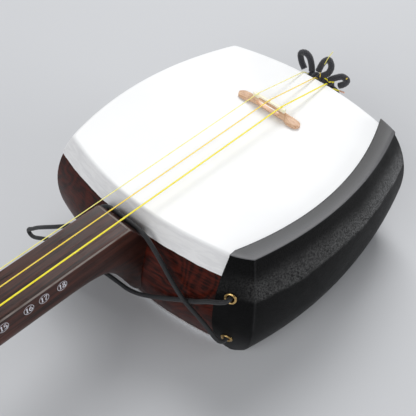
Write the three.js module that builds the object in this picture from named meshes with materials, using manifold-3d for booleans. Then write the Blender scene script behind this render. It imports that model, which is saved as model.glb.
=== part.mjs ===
// A thick-necked shamisen: a skin-covered wooden body, a three-piece neck whose tang runs through
// the body, a head with three friction pegs, a bridge, three strings held by a cord at the tail,
// and an arm-rest cover tied on with elastic cord.
// Millimetres. +X runs from the body to the head, +Y to the cover side and +Z out of the front
// skin. The origin is the centre of the body's back, on the outer face of the back skin.
import * as THREE from 'three';
import { mergeVertices } from 'three/addons/utils/BufferGeometryUtils.js';
import Module from 'manifold-3d';

const wasm = await Module();
wasm.setup();

// ---- driving dimensions ----
const GAP = 0.3; // clearance between touching pieces

const BODY_DEPTH = 98.4;
const CORNER_X = 82.6; // wooden body's corners, at the faces
const NECK_CORNER_Y = 79.9;
const TAIL_CORNER_Y = 74.3;
const NECK_CROWN = 13.1; // how far each side bows out between its corners
const TAIL_CROWN = 11.8;
const SIDE_CROWN = 15.1;
const SIDE_SWELL = 12.5; // how far the sides belly out half way down
const END_SWELL_FREE = 12.5;
const END_SWELL_COVER = 10;
const PANEL_THICKNESS = 9;

const SKIN_THICKNESS = 0.8;
const SKIN_OUT = 1; // outer face of the turned-down skin, from the wood
const SKIN_BAND = 16; // how far the front skin comes down the sides
const BACK_BAND = 2.6; // and the back skin up them

const COVER_IN = 1.4; // inner face of the cover, from the wood, beside the skins
const COVER_IN_LESS = 0.8; // how much nearer the wood it lies between them
const COVER_OUT = 3.2;
const COVER_LOW = 0.8;
const COVER_TOP = 2.2; // above the front skin
const COVER_NECK_X = 80.7; // cover's own corners, at the faces
const COVER_TAIL_X = 83.8;
const COVER_MEAN_Y = 84.4;
const COVER_SKEW = 2.6;
const COVER_CROWN = 13.4;
const FLAP_NECK_Y = 74;
const FLAP_TAIL_Y = 66;
const FLANGE_Y = 86.8; // inner edge of the flange on the skin
const FLANGE_CURVE = 0.0023;
const FLANGE_MIDDLE_X = 8;

const BOARD_TOP = 100.1; // fingerboard
const BOARD_END_X = 117;
const NECK_HALF = 15.6;
const NECK_TAPER = 3; // lost from the half width at the nut
const ROOT_SLOPE = 1.44; // fall of the neck's root towards the body
const NECK_LOW = 68.6;
const NECK_THINNING = 6.3;
const HEEL_DROP = 54.6;
const HEEL_REACH = 18.85;
const JOINTS_X = [322, 520, 690]; // between the neck's pieces and the head
const NUT_X = 725.5;

const TANG_HALF = 9.5;
const TANG_LOW = 56;
const TANG_HIGH = 80;
const TANG_END_X = -122;

const BRIDGE_X = -38;
const BRIDGE_HALF = 29;
const BRIDGE_WAIST = 2; // half width between its feet
const BRIDGE_MIDDLE_Y = -0.7;
const STRING_BRIDGE_Z = 108.3;
const STRING_GAP_BRIDGE = 11.2;
const STRING_GAP_NUT = 9.6;
const STRING_RADII = [0.55, 0.42, 0.32];

const PEGS = [ // each peg's place on the head, the side of its handle and its winding's place
  { x: 757, z: 81.8, side: 1, winding: 3.6 },
  { x: 781, z: 78.6, side: -1, winding: -0.4 },
  { x: 804, z: 74.2, side: 1, winding: -2.6 },
];
const PEG_RADIUS = 4.7;
const WINDING_RADIUS = 6.4;
const SCREW_Y = 9.25; // the screw stands under the middle of the loose plate
const CHEEK_IN = 7.5; // half width of the peg box's slot

const ELASTIC_RADIUS = 1.6;
const BRAID_RADIUS = 2.1;

const point = (x, y, z) => new THREE.Vector3(x, y, z);
const flat = (pairs) => pairs.map((pair) => new THREE.Vector2(...pair));
const spread = (from, to, steps) =>
  Array.from({ length: steps + 1 }, (_, i) => from + ((to - from) * i) / steps);

// ---- closed bodies and booleans ----

const bare = (geometry) => {
  const copy = geometry.index ? geometry.clone() : mergeVertices(geometry);
  copy.deleteAttribute('normal');
  copy.deleteAttribute('uv');
  return mergeVertices(copy, 1e-4);
};

const toSolid = (geometry) => {
  const { attributes, index } = bare(geometry);
  return new wasm.Manifold(new wasm.Mesh({
    numProp: 3,
    vertProperties: new Float32Array(attributes.position.array),
    triVerts: new Uint32Array(index.array),
  }));
};

const toGeometry = (solid) => {
  const mesh = solid.getMesh();
  const geometry = new THREE.BufferGeometry();
  geometry.setAttribute('position', new THREE.BufferAttribute(mesh.vertProperties, 3));
  geometry.setIndex(new THREE.BufferAttribute(mesh.triVerts, 1));
  return geometry;
};

const combine = (action) => (first, ...others) =>
  toGeometry(others.reduce((solid, other) => solid[action](toSolid(other)), toSolid(first)));
const join = combine('add');
const cut = combine('subtract');
const common = combine('intersect');

// A closed body through equal rings of points; `flat` lays a ring out for its end cap.
function loft(rings, flat) {
  const count = rings[0].length;
  const first = rings[0].map(flat);
  const ordered = THREE.ShapeUtils.area(first) < 0 ? rings.map((ring) => [...ring].reverse()) : rings;
  const faces = [];
  for (let r = 0; r + 1 < ordered.length; r += 1) {
    for (let i = 0; i < count; i += 1) {
      const [a, b] = [r * count + i, r * count + ((i + 1) % count)];
      faces.push(a, b, b + count, a, b + count, a + count);
    }
  }
  const last = (ordered.length - 1) * count;
  for (const [a, b, c] of THREE.ShapeUtils.triangulateShape(ordered[0].map(flat), [])) {
    faces.push(a, c, b);
  }
  for (const [a, b, c] of THREE.ShapeUtils.triangulateShape(ordered.at(-1).map(flat), [])) {
    faces.push(last + a, last + b, last + c);
  }
  const points = ordered.flat();
  const volume = faces.reduce((sum, _, i) => (i % 3 ? sum
    : sum + points[faces[i]].dot(points[faces[i + 1]].clone().cross(points[faces[i + 2]]))), 0);
  if (volume < 0) faces.reverse();
  const geometry = new THREE.BufferGeometry();
  geometry.setAttribute('position', new THREE.Float32BufferAttribute(points.flatMap((p) => p.toArray()), 3));
  geometry.setIndex(faces);
  return geometry;
}
const fromAbove = (p) => new THREE.Vector2(p.x, p.y);
const fromEnd = (p) => new THREE.Vector2(p.y, p.z);

function box(x0, x1, y0, y1, z0, z1) {
  const geometry = new THREE.BoxGeometry(x1 - x0, y1 - y0, z1 - z0);
  return geometry.translate((x0 + x1) / 2, (y0 + y1) / 2, (z0 + z1) / 2);
}

function extrude(outline, depth) {
  const shape = new THREE.Shape(outline);
  return new THREE.ExtrudeGeometry(shape, { depth, bevelEnabled: false, curveSegments: 4 });
}

// A tube of `sides` flats along a curve.
function tube(curve, radius, steps, sides = 8) {
  const section = spread(0, 1, sides).slice(0, -1).map((t) => {
    const angle = 2 * Math.PI * (t + 0.5 / sides);
    return new THREE.Vector2(radius * Math.cos(angle), radius * Math.sin(angle));
  });
  const settings = { steps, bevelEnabled: false, extrudePath: curve };
  return new THREE.ExtrudeGeometry(new THREE.Shape(section), settings);
}
const smooth = (points) => new THREE.CatmullRomCurve3(points.map((p) => point(...p)), false, 'centripetal');

// A taut line with a bend at each of its points.
class BentLine extends THREE.Curve {
  constructor(points) {
    super();
    this.points = points.map((p) => point(...p));
  }

  getPoint(t) {
    const place = Math.min(Math.max(t, 0), 1) * (this.points.length - 1);
    const i = Math.min(Math.floor(place), this.points.length - 2);
    return this.points[i].clone().lerp(this.points[i + 1], place - i);
  }

  getPointAt(t) {
    return this.getPoint(t);
  }

  getTangentAt(t) {
    return this.getTangent(t);
  }
}

// A turned ring or rod along +Z from (radius, height) pairs.
function turned(profile, sides) {
  return new THREE.LatheGeometry(flat(profile), sides).rotateX(Math.PI / 2);
}

// ---- the body's shape ----

// 0 at the two faces, 1 half way between them.
const swell = (z) => Math.max(0, 1 - ((2 * z) / BODY_DEPTH - 1) ** 2);
const mix = (a, b, t) => a + (b - a) * t;
const endSwell = (fraction, z) => mix(END_SWELL_FREE, END_SWELL_COVER, (fraction + 1) / 2) * swell(z);

// How far out the neck (+1) or tail (-1) end of the body stands at y.
function endReach(end, y, z, out) {
  const corner = (end > 0 ? NECK_CORNER_Y : TAIL_CORNER_Y) + SIDE_SWELL * swell(z) + out;
  const fraction = y / corner;
  const crown = (end > 0 ? NECK_CROWN : TAIL_CROWN) * (1 - fraction * fraction);
  return CORNER_X + endSwell(fraction, z) + out + crown;
}

// A point of the body's outline at height z, moved out by `out`. The sides run anticlockwise from
// above: neck, cover, tail, free; t goes from 0 to 1 along a side.
function bodyPoint(side, t, z, out = 0, belly = z) {
  const s = 2 * t - 1;
  if (side === 'neck' || side === 'tail') {
    const end = side === 'neck' ? 1 : -1;
    const corner = (end > 0 ? NECK_CORNER_Y : TAIL_CORNER_Y) + SIDE_SWELL * swell(belly) + out;
    const y = end * s * corner;
    return point(end * endReach(end, y, belly, out), y, z);
  }
  const facing = side === 'cover' ? 1 : -1;
  const x = -facing * s * (CORNER_X + endSwell(facing, belly) + out);
  const along = (x / Math.abs(CORNER_X + endSwell(facing, belly) + out) + 1) / 2;
  const corner = mix(TAIL_CORNER_Y, NECK_CORNER_Y, along);
  return point(x, facing * (corner + SIDE_SWELL * swell(belly) + out + SIDE_CROWN * (1 - s * s)), z);
}
const SIDES = ['neck', 'cover', 'tail', 'free'];

// The whole outline at one height.
const bodyRing = (z, out, steps = 10) =>
  SIDES.flatMap((side) => spread(0, 1, steps).slice(0, -1).map((t) => bodyPoint(side, t, z, out)));

const WOOD_LOW = SKIN_THICKNESS + GAP;
const WOOD_HIGH = BODY_DEPTH - WOOD_LOW;
const MITRE = 0.0015; // share of a side left open at each mitre

function bodyPanel(side) {
  const rings = spread(WOOD_LOW, WOOD_HIGH, 8).map((z) => [
    ...spread(MITRE, 1 - MITRE, 12).map((t) => bodyPoint(side, t, z)),
    ...spread(1 - MITRE, MITRE, 5).map((t) => bodyPoint(side, t, z, -PANEL_THICKNESS, 0)),
  ]);
  const panel = loft(rings, fromAbove);
  if (side === 'cover' || side === 'free') return panel;
  const [x0, x1] = side === 'neck' ? [70, 120] : [-120, -70];
  const half = TANG_HALF + GAP;
  return cut(panel, box(x0, x1, -half, half, TANG_LOW - GAP, TANG_HIGH + GAP));
}

// A skin: a flat face with its edge turned over the wood.
function skin(front) {
  const height = (depth) => (front ? BODY_DEPTH - depth : depth);
  const band = front ? SKIN_BAND : BACK_BAND;
  const shoulder = front ? 5 : 1.5;
  const rings = [
    bodyRing(height(0), SKIN_OUT - 0.7),
    bodyRing(height(0.5), SKIN_OUT),
    ...spread(shoulder, band, 2).map((depth) => bodyRing(height(depth), SKIN_OUT)),
    ...spread(band, shoulder, 2).map((depth) => bodyRing(height(depth), GAP)),
    bodyRing(height(SKIN_THICKNESS), GAP),
  ];
  return loft(rings, fromAbove);
}

// ---- the arm-rest cover ----

const coverNeckX = (z) => COVER_NECK_X + END_SWELL_COVER * swell(z);
const coverTailX = (z) => COVER_TAIL_X + END_SWELL_COVER * swell(z);
function coverSideY(x, z) {
  const s = x / (CORNER_X + 1 + END_SWELL_COVER * swell(z));
  return COVER_MEAN_Y + COVER_SKEW * s + COVER_CROWN * (1 - s * s) + SIDE_SWELL * swell(z);
}

// Lower down, the neck flap's edge swings back towards the long side.
const flapNeckY = (z) => FLAP_NECK_Y + 7 * Math.max(0, (30 - z) / 30) ** 2;

const flapEdgeY = (end, z) => (end > 0 ? flapNeckY(z) : FLAP_TAIL_Y);

// An end flap's outer face follows the body, and tucks in to meet the long side at the corner.
function flapPoint(end, y, z) {
  const cornerX = end > 0 ? coverNeckX(z) : coverTailX(z);
  const cornerY = coverSideY(end * cornerX, z);
  const tuck = cornerX - endReach(end, cornerY, z, COVER_OUT);
  const t = Math.max(0, (y - flapEdgeY(end, z)) / (cornerY - flapEdgeY(end, z)));
  return point(end * (endReach(end, y, z, COVER_OUT) + tuck * t ** 1.6), y, z);
}

// The outer line of one end flap, from its free edge to the cover's corner.
function flapOuter(end, z) {
  const cornerY = coverSideY(end * (end > 0 ? coverNeckX(z) : coverTailX(z)), z);
  return spread(flapEdgeY(end, z), cornerY, 7).map((y) => flapPoint(end, y, z));
}

const coverOuter = (z) => [
  ...flapOuter(1, z),
  ...spread(coverNeckX(z), -coverTailX(z), 14).slice(1, -1).map((x) => point(x, coverSideY(x, z), z)),
  ...flapOuter(-1, z).reverse(),
];

// Between the two skins' edges the inner face comes nearer the wood.
function coverInset(z) {
  const between = Math.min(z - 17, BODY_DEPTH - 17 - z) / 7;
  return COVER_IN - COVER_IN_LESS * Math.min(1, Math.max(0, between));
}

function coverInner(z) {
  const inset = coverInset(z);
  const corner = (end) => (end > 0 ? NECK_CORNER_Y : TAIL_CORNER_Y) + SIDE_SWELL * swell(z) + inset;
  const flap = (end, edge) => spread(edge, corner(end), 4).slice(0, -1)
    .map((y) => point(end * endReach(end, y, z, inset), y, z));
  return [
    ...flap(-1, FLAP_TAIL_Y),
    ...spread(1, 0, 14).map((t) => bodyPoint('cover', t, z, inset)),
    ...flap(1, flapNeckY(z)).reverse(),
  ];
}

// An eyelet's centre on a flap's outer face, and the turn that stands it square to the face.
function eyeletPlace(end, y, z) {
  const centre = flapPoint(end, y, z);
  const across = flapPoint(end, y + 1, z).sub(centre);
  const up = flapPoint(end, y, z + 1).sub(centre);
  const outward = across.cross(up).multiplyScalar(end).normalize();
  return { centre, turn: new THREE.Quaternion().setFromUnitVectors(point(0, 0, 1), outward) };
}
const EYELETS = [[1, 83.5, 71.5], [1, 83.5, 27.5], [-1, 77, 68], [-1, 77, 30]]
  .map((place) => eyeletPlace(...place));
const onFlap = (geometry, { centre, turn }) => geometry.applyQuaternion(turn).translate(...centre.toArray());

function coverShell() {
  const top = BODY_DEPTH + COVER_TOP;
  const levels = [COVER_LOW, 10, 17, 24, 36, 49, 62, 74.4, 81.4, 90, BODY_DEPTH, top];
  const wall = loft(levels.map((z) => [...coverOuter(z), ...coverInner(z)]), fromAbove);
  const inner = spread(-88, 83, 10).map((x) => [x, FLANGE_Y - FLANGE_CURVE * (x - FLANGE_MIDDLE_X) ** 2]);
  const flange = (z) => [...coverOuter(BODY_DEPTH), ...inner.map(([x, y]) => point(x, y, 0))]
    .map((p) => point(p.x, p.y, z));
  const hole = () => new THREE.CylinderGeometry(3.5, 3.5, 12, 12).rotateX(Math.PI / 2);
  const holes = EYELETS.map((place) => onFlap(hole(), place));
  return cut(join(wall, loft([flange(BODY_DEPTH + GAP), flange(top)], fromAbove)), ...holes);
}

function eyelet(place) {
  const profile = [[2.6, -1.5], [3.1, -1.5], [3.1, 0.4], [4.3, 0.4], [4.1, 1], [3.5, 1.3], [2.8, 1.1],
    [2.6, 0.5], [2.6, -1.5]];
  return onFlap(turned(profile, 12), place);
}

// ---- the neck ----

const alongNeck = (x) => Math.max(0, (x - BOARD_END_X) / (NUT_X - BOARD_END_X));
const neckHalf = (x) => NECK_HALF - NECK_TAPER * alongNeck(x);
const neckTop = (x) => BOARD_TOP - ROOT_SLOPE * Math.max(0, BOARD_END_X - x);
function neckLow(x) {
  const beyond = Math.max(0, x - 104) / HEEL_REACH;
  return NECK_LOW + NECK_THINNING * alongNeck(x) - HEEL_DROP * Math.exp(-(beyond ** 1.363));
}

// A flat top and upright sides, then half an ellipse underneath.
function neckRing(x) {
  const [half, top, low] = [neckHalf(x), neckTop(x), neckLow(x)];
  const waist = Math.min(84 + alongNeck(x) * 1.5, top - 2);
  const under = spread(0, Math.PI, 12)
    .map((a) => point(x, half * Math.cos(a), waist - (waist - low) * Math.sin(a)));
  return [...under, point(x, -half, top), point(x, half, top)];
}
const neckPiece = (places) => loft(places.map(neckRing), fromEnd);

// A tenon standing 24 mm into the next piece, and the mortise for it.
const tenon = (x, spare) => box(x - 3, x + 24 + spare, -5 - spare, 5 + spare, 78 - spare, 92 + spare);

// What the neck's root has to clear: the body's wood, and the skins' edges over it.
function bodyBlock() {
  const edge = SKIN_BAND + GAP;
  const levels = [[-1, 1], [edge, 1], [edge + 0.1, 0], ...spread(24, 74, 5).map((z) => [z, 0]),
    [BODY_DEPTH - edge - 0.1, 0], [BODY_DEPTH - edge, 1], [BODY_DEPTH + 3, 1]];
  return loft(levels.map(([z, over]) => bodyRing(z, GAP + over * SKIN_OUT, 12)), fromAbove);
}

function neckLower() {
  const heel = [92, 100, 104, 107, 110, 113.5, 117, 122, 128, 135, 143, 152, 164, 200, 260,
    JOINTS_X[0] - GAP / 2];
  const root = cut(neckPiece(heel), bodyBlock());
  const tang = box(-106, 109, -TANG_HALF, TANG_HALF, TANG_LOW, TANG_HIGH);
  const tip = box(TANG_END_X, -105, -6.5, 6.5, TANG_LOW + 4, TANG_HIGH - 3);
  return join(root, tang, tip, tenon(JOINTS_X[0], 0));
}

function neckBetween(from, to) {
  const piece = neckPiece(spread(from + GAP / 2, to - GAP / 2, 5));
  return join(cut(piece, tenon(from, GAP)), tenon(to, 0));
}

// ---- the head ----

function head() {
  const start = JOINTS_X[2] + GAP / 2;
  const side = new THREE.Shape();
  side.moveTo(start, BOARD_TOP);
  side.lineTo(728.5, BOARD_TOP);
  side.splineThru(flat([[733, 96.4], [742, 95], [780, 91], [818, 83.5], [845, 72], [867, 57], [882, 42]]));
  side.lineTo(875, 35.5);
  side.splineThru(flat([[858, 45], [840, 52], [818, 58.5], [780, 66.5], [745, 71], [715, 73.5],
    [start, 74.9]]));
  const half = [[start, 12.8], [701, 13.4], [710, 16.6], [719, 18.7], [728, 17.6], [737, 15.2], [748, 15],
    [800, 15.4], [820, 15.6], [835, 17.6], [850, 22.5], [864, 28], [875, 31], [884, 31.5]];
  const front = flat([...half, ...half.map(([x, y]) => [x, -y]).reverse()]);
  const solid = common(
    new THREE.ExtrudeGeometry(side, { depth: 70, bevelEnabled: false, curveSegments: 12 })
      .rotateX(Math.PI / 2).translate(0, 35, 0),
    extrude(front, 90).translate(0, 0, 25),
  );
  const holes = PEGS.map(({ x, z }) => new THREE.CylinderGeometry(6.5, 6.5, 60, 16).translate(x, 0, z));
  const slot = box(738, 819, -CHEEK_IN, CHEEK_IN, 30, 110);
  const rattlePocket = box(NUT_X - 1.8, NUT_X + 1.8, 6.1, 12.4, 91.4, 105);
  const screwHole = new THREE.CylinderGeometry(2.4, 2.4, 40, 12).rotateX(Math.PI / 2)
    .translate(NUT_X, SCREW_Y, 72.5);
  return cut(solid, slot, rattlePocket, screwHole, tenon(JOINTS_X[2], GAP), ...holes);
}

function peg({ x, z, side }) {
  const shaft = new THREE.CylinderGeometry(PEG_RADIUS, PEG_RADIUS, 40, 16).translate(0, 0.5, 0);
  const profile = [[0, 17.8], [6.6, 17.8], [7.2, 19.2], [6.2, 24], [7.2, 44], [9.6, 74], [11.6, 95],
    [11.2, 101],
    [7, 103.5], [0, 104]];
  const handle = new THREE.LatheGeometry(flat(profile), 8);
  return join(shaft, handle).rotateX(side > 0 ? 0 : Math.PI).translate(x, 0, z);
}

// Lines a cheek of the peg box; the running clearance is round the peg.
function bushing({ x, z }, side) {
  const profile = [[PEG_RADIUS + GAP, 7.6], [6.2, 7.6], [6.2, 16.1], [8.2, 16.1], [8, 17.2],
    [PEG_RADIUS + GAP, 17.2],
    [PEG_RADIUS + GAP, 7.6]];
  return turned(profile, 16).rotateX(side > 0 ? -Math.PI / 2 : Math.PI / 2).translate(x, 0, z);
}

function winding({ x, z, winding: y }) {
  const [inner, outer] = [PEG_RADIUS + GAP, WINDING_RADIUS];
  const profile = [[inner, -2.8], [outer - 0.8, -2.8], [outer, -1.6], [outer, 1.6], [outer - 0.8, 2.8],
    [inner, 2.8], [inner, -2.8]];
  return turned(profile, 12).rotateX(-Math.PI / 2).translate(x, y, z);
}

// ---- strings and bridge ----

const NUT_TOP = 101.2;

function string(i) {
  const radius = STRING_RADII[i];
  const nutY = STRING_GAP_NUT * (1 - i);
  const bridgeY = BRIDGE_MIDDLE_Y + STRING_GAP_BRIDGE * (1 - i);
  const { x, z, winding: windingY } = PEGS[i];
  const tailX = -endReach(-1, bridgeY, BODY_DEPTH, SKIN_OUT);
  return tube(new BentLine([
    [x, windingY, z + WINDING_RADIUS + GAP + radius],
    [NUT_X + 1.6, nutY, NUT_TOP + GAP + radius],
    [BRIDGE_X, bridgeY, STRING_BRIDGE_Z],
    [tailX, bridgeY, BODY_DEPTH + GAP + radius],
    [tailX - 2.4, bridgeY * 0.9, BODY_DEPTH - 0.6],
  ]), radius, 4, 6);
}

function bridgeBase() {
  const low = BODY_DEPTH + GAP;
  const outline = flat([[-BRIDGE_HALF, 0], [BRIDGE_HALF, 0], [BRIDGE_HALF, 2.2], [27, 3], [19, 3.6],
    [15.8, 6.2], [-15.8, 6.2],
    [-19, 3.6], [-27, 3], [-BRIDGE_HALF, 2.2]]);
  const side = new THREE.Shape(outline);
  side.holes.push(new THREE.Path(flat([[-10, 1.5], [-10, 4.9], [10, 4.9], [10, 1.5]])));
  const along = new THREE.ExtrudeGeometry(side, { depth: 12, bevelEnabled: false })
    .rotateX(Math.PI / 2).rotateZ(Math.PI / 2).translate(-6, 0, 0);
  const plan = flat([-1, 1].flatMap((end) => spread(-Math.PI / 2, Math.PI / 2, 6)
    .map((a) => [-end * 4.2 * Math.sin(a), end * (BRIDGE_HALF - 4.2 + 4.2 * Math.cos(a))])
    .concat([[4.2, -20], [BRIDGE_WAIST, -15.5], [BRIDGE_WAIST, 15.5], [4.2, 20]]
      .map(([x, y]) => [-end * x, -end * y]))));
  const taper = flat([[-4.2, -1], [4.2, -1], [4.2, 2], [1.8, 6.6], [-1.8, 6.6], [-4.2, 2]]);
  return common(
    along,
    extrude(plan, 10).translate(0, 0, -1),
    extrude(taper, 80).rotateX(Math.PI / 2).translate(0, 40, 0),
  ).translate(BRIDGE_X, BRIDGE_MIDDLE_Y, low);
}

// ---- cords ----

// A point on an eyelet's own line, `height` above the flap.
const above = ({ centre, turn }, height) => point(0, 0, height).applyQuaternion(turn).add(centre).toArray();
const EYELET_RUN = [-0.8, 1.4, 3.2]; // heights where an elastic passes straight through its eyelet
const leaving = (place) => EYELET_RUN.map((height) => above(place, height));
const entering = (place) => leaving(place).reverse();

// Both ends of the neck-end elastic start in the eyelets; it runs under the heel and over the root,
// and its slack stands out as a loop on the free side.
const NECK_ELASTIC = [
  ...leaving(EYELETS[0]),
  [101.6, 83, 72.2], [102.9, 79.8, 70.8], [103.3, 75.8, 67.8], [103.3, 71.6, 64.4],
  [103.6, 61, 54.2], [104.5, 51.9, 48], [106, 35, 35.6], [107.8, 23.4, 28.4], [111.2, 13.5, 25.2],
  [113.2, 4, 23.9],
  [113.6, -7, 23.4], [114.2, -20, 22.8], [116.2, -36, 23.4], [118.8, -53, 24.6], [121.6, -69, 23.6],
  [123.8, -80, 19.2], [124.8, -88, 14.6], [125.2, -94, 12.2], [125.2, -97.4, 14.6], [125, -94.4, 20],
  [124.8, -85.4, 28], [124.4, -74, 37.4], [122.6, -62.6, 45.4], [118.8, -49, 54.6], [114.6, -36.5, 66],
  [111.2, -26.6, 79], [109.4, -19.6, 89.8], [108.4, -14, 91.8], [108.2, -4, 91.8], [108.2, 5, 91.8],
  [108.2, 13.4, 91.8],
  [108.2, 19.4, 89.8], [107.8, 25.6, 83.6], [107.4, 32.2, 75.6], [107.2, 42.6, 62.8], [107, 53, 52.6],
  [105.2, 63, 44.2], [103.6, 71, 37.2], [103.2, 76.8, 32.6], [102.7, 81, 29.2], [101.4, 83.6, 27.2],
  ...entering(EYELETS[1]),
];
// The tail-end elastic loops round the tang's tip.
const TAIL_ELASTIC = [
  ...leaving(EYELETS[2]),
  [-102.6, 76.4, 68.8], [-103.7, 73, 68.8], [-103.9, 66.6, 68.6],
  [-104.4, 56, 68.4], [-105.8, 40, 68.6], [-108, 26, 69], [-112, 17.4, 70.4], [-116.2, 12.2, 73.4],
  [-118, 9.4, 76.8],
  [-118, 6.8, 79.4], [-118, 0, 79.8], [-118, -6.8, 79.4], [-118, -9.4, 76.8], [-118, -9.4, 68.5],
  [-118, -9.4, 60.4],
  [-118, -6.8, 57.6], [-118, 0, 57.2], [-117.6, 7, 56.6], [-115, 14, 55], [-110.6, 23, 51.6],
  [-107, 37, 45.6],
  [-104.9, 54, 38.4], [-104.2, 66, 33.6], [-103.9, 72.6, 30.8], [-102.6, 76.2, 29.6],
  ...entering(EYELETS[3]),
];
// The thick braided cord that holds the strings, hung on the tang.
const TAIL_SLING = [
  [-104.6, 5.2, 87.2], [-107.6, 7.2, 83], [-110.4, 8.9, 78], [-111, 9.2, 72], [-111, 9.2, 61.4],
  [-111, 8.2, 58.4],
  [-111, 5.4, 57.3], [-111, -5.4, 57.3], [-111, -8.2, 58.4], [-111, -9.2, 61.4], [-111, -9.2, 72],
  [-110.4, -8.9, 78],
  [-107.6, -7.2, 83], [-104.6, -5.2, 87.2],
];
const BOWS = [
  [[-102.6, -9, 97.2], [-104.2, -11.6, 101.6], [-105.6, -15.4, 106], [-106.4, -20.4, 107.2],
  [-106.6, -24.6, 104.4],
    [-105.6, -22.6, 99.2], [-104, -17.4, 94.6]],
  [[-102.4, 1.6, 98.4], [-103.8, 5.6, 102.6], [-105.2, 6.2, 108.4], [-106.4, 2.4, 111.6],
  [-106.8, -1.6, 108.6],
    [-106.2, -3.8, 103.2], [-104.6, -4.4, 98.6]],
  [[-102.8, 8.2, 97.6], [-104, 12.6, 101.4], [-105.4, 18, 104.4], [-106.2, 21.8, 102.4], [-106, 20, 98.2],
    [-104.8, 16.6, 95.4]],
];

function tailKnot() {
  return new THREE.SphereGeometry(1, 14, 10).scale(3.6, 12.6, 3.5).translate(-102.2, 0.6, 92.6);
}

// ---- position stickers on the neck's cover side ----

const STICKERS = { 4: 537.6, 6: 474.9, 9: 393.4, 10: 346.5, 15: 214.8, 16: 197, 17: 186, 18: 172.5 };

function sticker(x) {
  const y = neckHalf(x) + GAP;
  return new THREE.CylinderGeometry(3.6, 3.6, 0.25, 16).translate(x, y + 0.125, 93.3);
}

// ---- assembly ----

const group = new THREE.Group();
const finishes = {
  bodyWood: [0x4a1c12, 0.35, 0],
  neckWood: [0x3a211b, 0.4, 0],
  skin: [0xf4f5f5, 0.6, 0],
  cover: [0x17181a, 0.45, 0],
  elastic: [0x1c1d1f, 0.8, 0],
  braid: [0x232326, 0.9, 0],
  brass: [0xb08a4a, 0.3, 1],
  string: [0xf2e640, 0.4, 0],
  bamboo: [0xc9976a, 0.5, 0],
  bone: [0xefe6c4, 0.4, 0],
  peg: [0x15110f, 0.3, 0],
  sticker: [0xe8e8ea, 0.5, 0],
};

function add(name, geometry, finish) {
  const [color, roughness, metalness] = finishes[finish];
  const mesh = new THREE.Mesh(geometry, new THREE.MeshStandardMaterial({ color, roughness, metalness }));
  mesh.name = name;
  group.add(mesh);
}

for (const side of SIDES) add(`body_panel_${side}`, bodyPanel(side), 'bodyWood');
add('front_skin', skin(true), 'skin');
add('back_skin', skin(false), 'skin');
add('arm_cover', coverShell(), 'cover');
['neck_upper', 'neck_lower', 'tail_upper', 'tail_lower'].forEach((place, i) => {
  add(`cover_eyelet_${place}`, eyelet(EYELETS[i]), 'brass');
});
add('cover_elastic_neck', tube(smooth(NECK_ELASTIC), ELASTIC_RADIUS, 64), 'elastic');
add('cover_elastic_tail', tube(smooth(TAIL_ELASTIC), ELASTIC_RADIUS, 44), 'elastic');

add('neck_lower', neckLower(), 'neckWood');
add('neck_middle', neckBetween(JOINTS_X[0], JOINTS_X[1]), 'neckWood');
add('neck_upper', neckBetween(JOINTS_X[1], JOINTS_X[2]), 'neckWood');
add('head', head(), 'neckWood');
for (const [number, x] of Object.entries(STICKERS)) add(`position_sticker_${number}`, sticker(x), 'sticker');

add('nut', box(NUT_X - 1.3, NUT_X + 1.3, -12.2, 4.4, BOARD_TOP + GAP, NUT_TOP), 'brass');
add('sawari_plate', box(NUT_X - 1.4, NUT_X + 1.4, 6.5, 12, 93.2, NUT_TOP), 'brass');
add('sawari_screw', join(
  new THREE.CylinderGeometry(2, 2, 22, 12).rotateX(Math.PI / 2).translate(NUT_X, SCREW_Y, 80.9),
  new THREE.CylinderGeometry(4.8, 4.8, 5.4, 16).rotateX(Math.PI / 2).translate(NUT_X, SCREW_Y, 68.2),
), 'brass');

PEGS.forEach((place, i) => {
  add(`peg_${i + 1}`, peg(place), 'peg');
  add(`peg_bushing_${i + 1}_cover_side`, bushing(place, 1), 'brass');
  add(`peg_bushing_${i + 1}_free_side`, bushing(place, -1), 'brass');
  add(`string_winding_${i + 1}`, winding(place), 'string');
  add(`string_${i + 1}`, string(i), 'string');
});

add('bridge_base', bridgeBase(), 'bamboo');
add('bridge_top', box(BRIDGE_X - 1.1, BRIDGE_X + 1.1, BRIDGE_MIDDLE_Y - 15.2, BRIDGE_MIDDLE_Y + 15.2,
  BODY_DEPTH + GAP + 6.2 + GAP, STRING_BRIDGE_Z - STRING_RADII[0] - GAP), 'bone');

add('tail_cord_sling', tube(smooth(TAIL_SLING), BRAID_RADIUS, 30), 'braid');
add('tail_cord_knot', tailKnot(), 'braid');
BOWS.forEach((route, i) => {
  add(`tail_cord_bow_${i + 1}`, tube(smooth(route), BRAID_RADIUS - 0.2, 16), 'braid');
});

export default group;
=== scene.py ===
import bpy
import numpy as np
from mathutils import Matrix


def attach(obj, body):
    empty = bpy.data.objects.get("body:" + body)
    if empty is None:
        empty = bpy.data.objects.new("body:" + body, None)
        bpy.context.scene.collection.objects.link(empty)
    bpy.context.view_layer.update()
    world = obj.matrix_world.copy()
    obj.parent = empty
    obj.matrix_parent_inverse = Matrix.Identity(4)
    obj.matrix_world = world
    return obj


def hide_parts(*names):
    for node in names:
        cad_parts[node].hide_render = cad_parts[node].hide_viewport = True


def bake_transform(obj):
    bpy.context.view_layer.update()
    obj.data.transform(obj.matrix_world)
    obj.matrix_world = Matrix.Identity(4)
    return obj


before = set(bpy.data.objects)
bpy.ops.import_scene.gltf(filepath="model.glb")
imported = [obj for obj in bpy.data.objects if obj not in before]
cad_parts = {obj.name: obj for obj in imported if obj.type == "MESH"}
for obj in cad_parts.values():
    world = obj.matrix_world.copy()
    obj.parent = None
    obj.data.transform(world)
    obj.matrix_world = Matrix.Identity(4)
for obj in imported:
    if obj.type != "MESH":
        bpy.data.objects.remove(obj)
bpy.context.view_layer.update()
mm = 0.001
gap = 0.3


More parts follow.
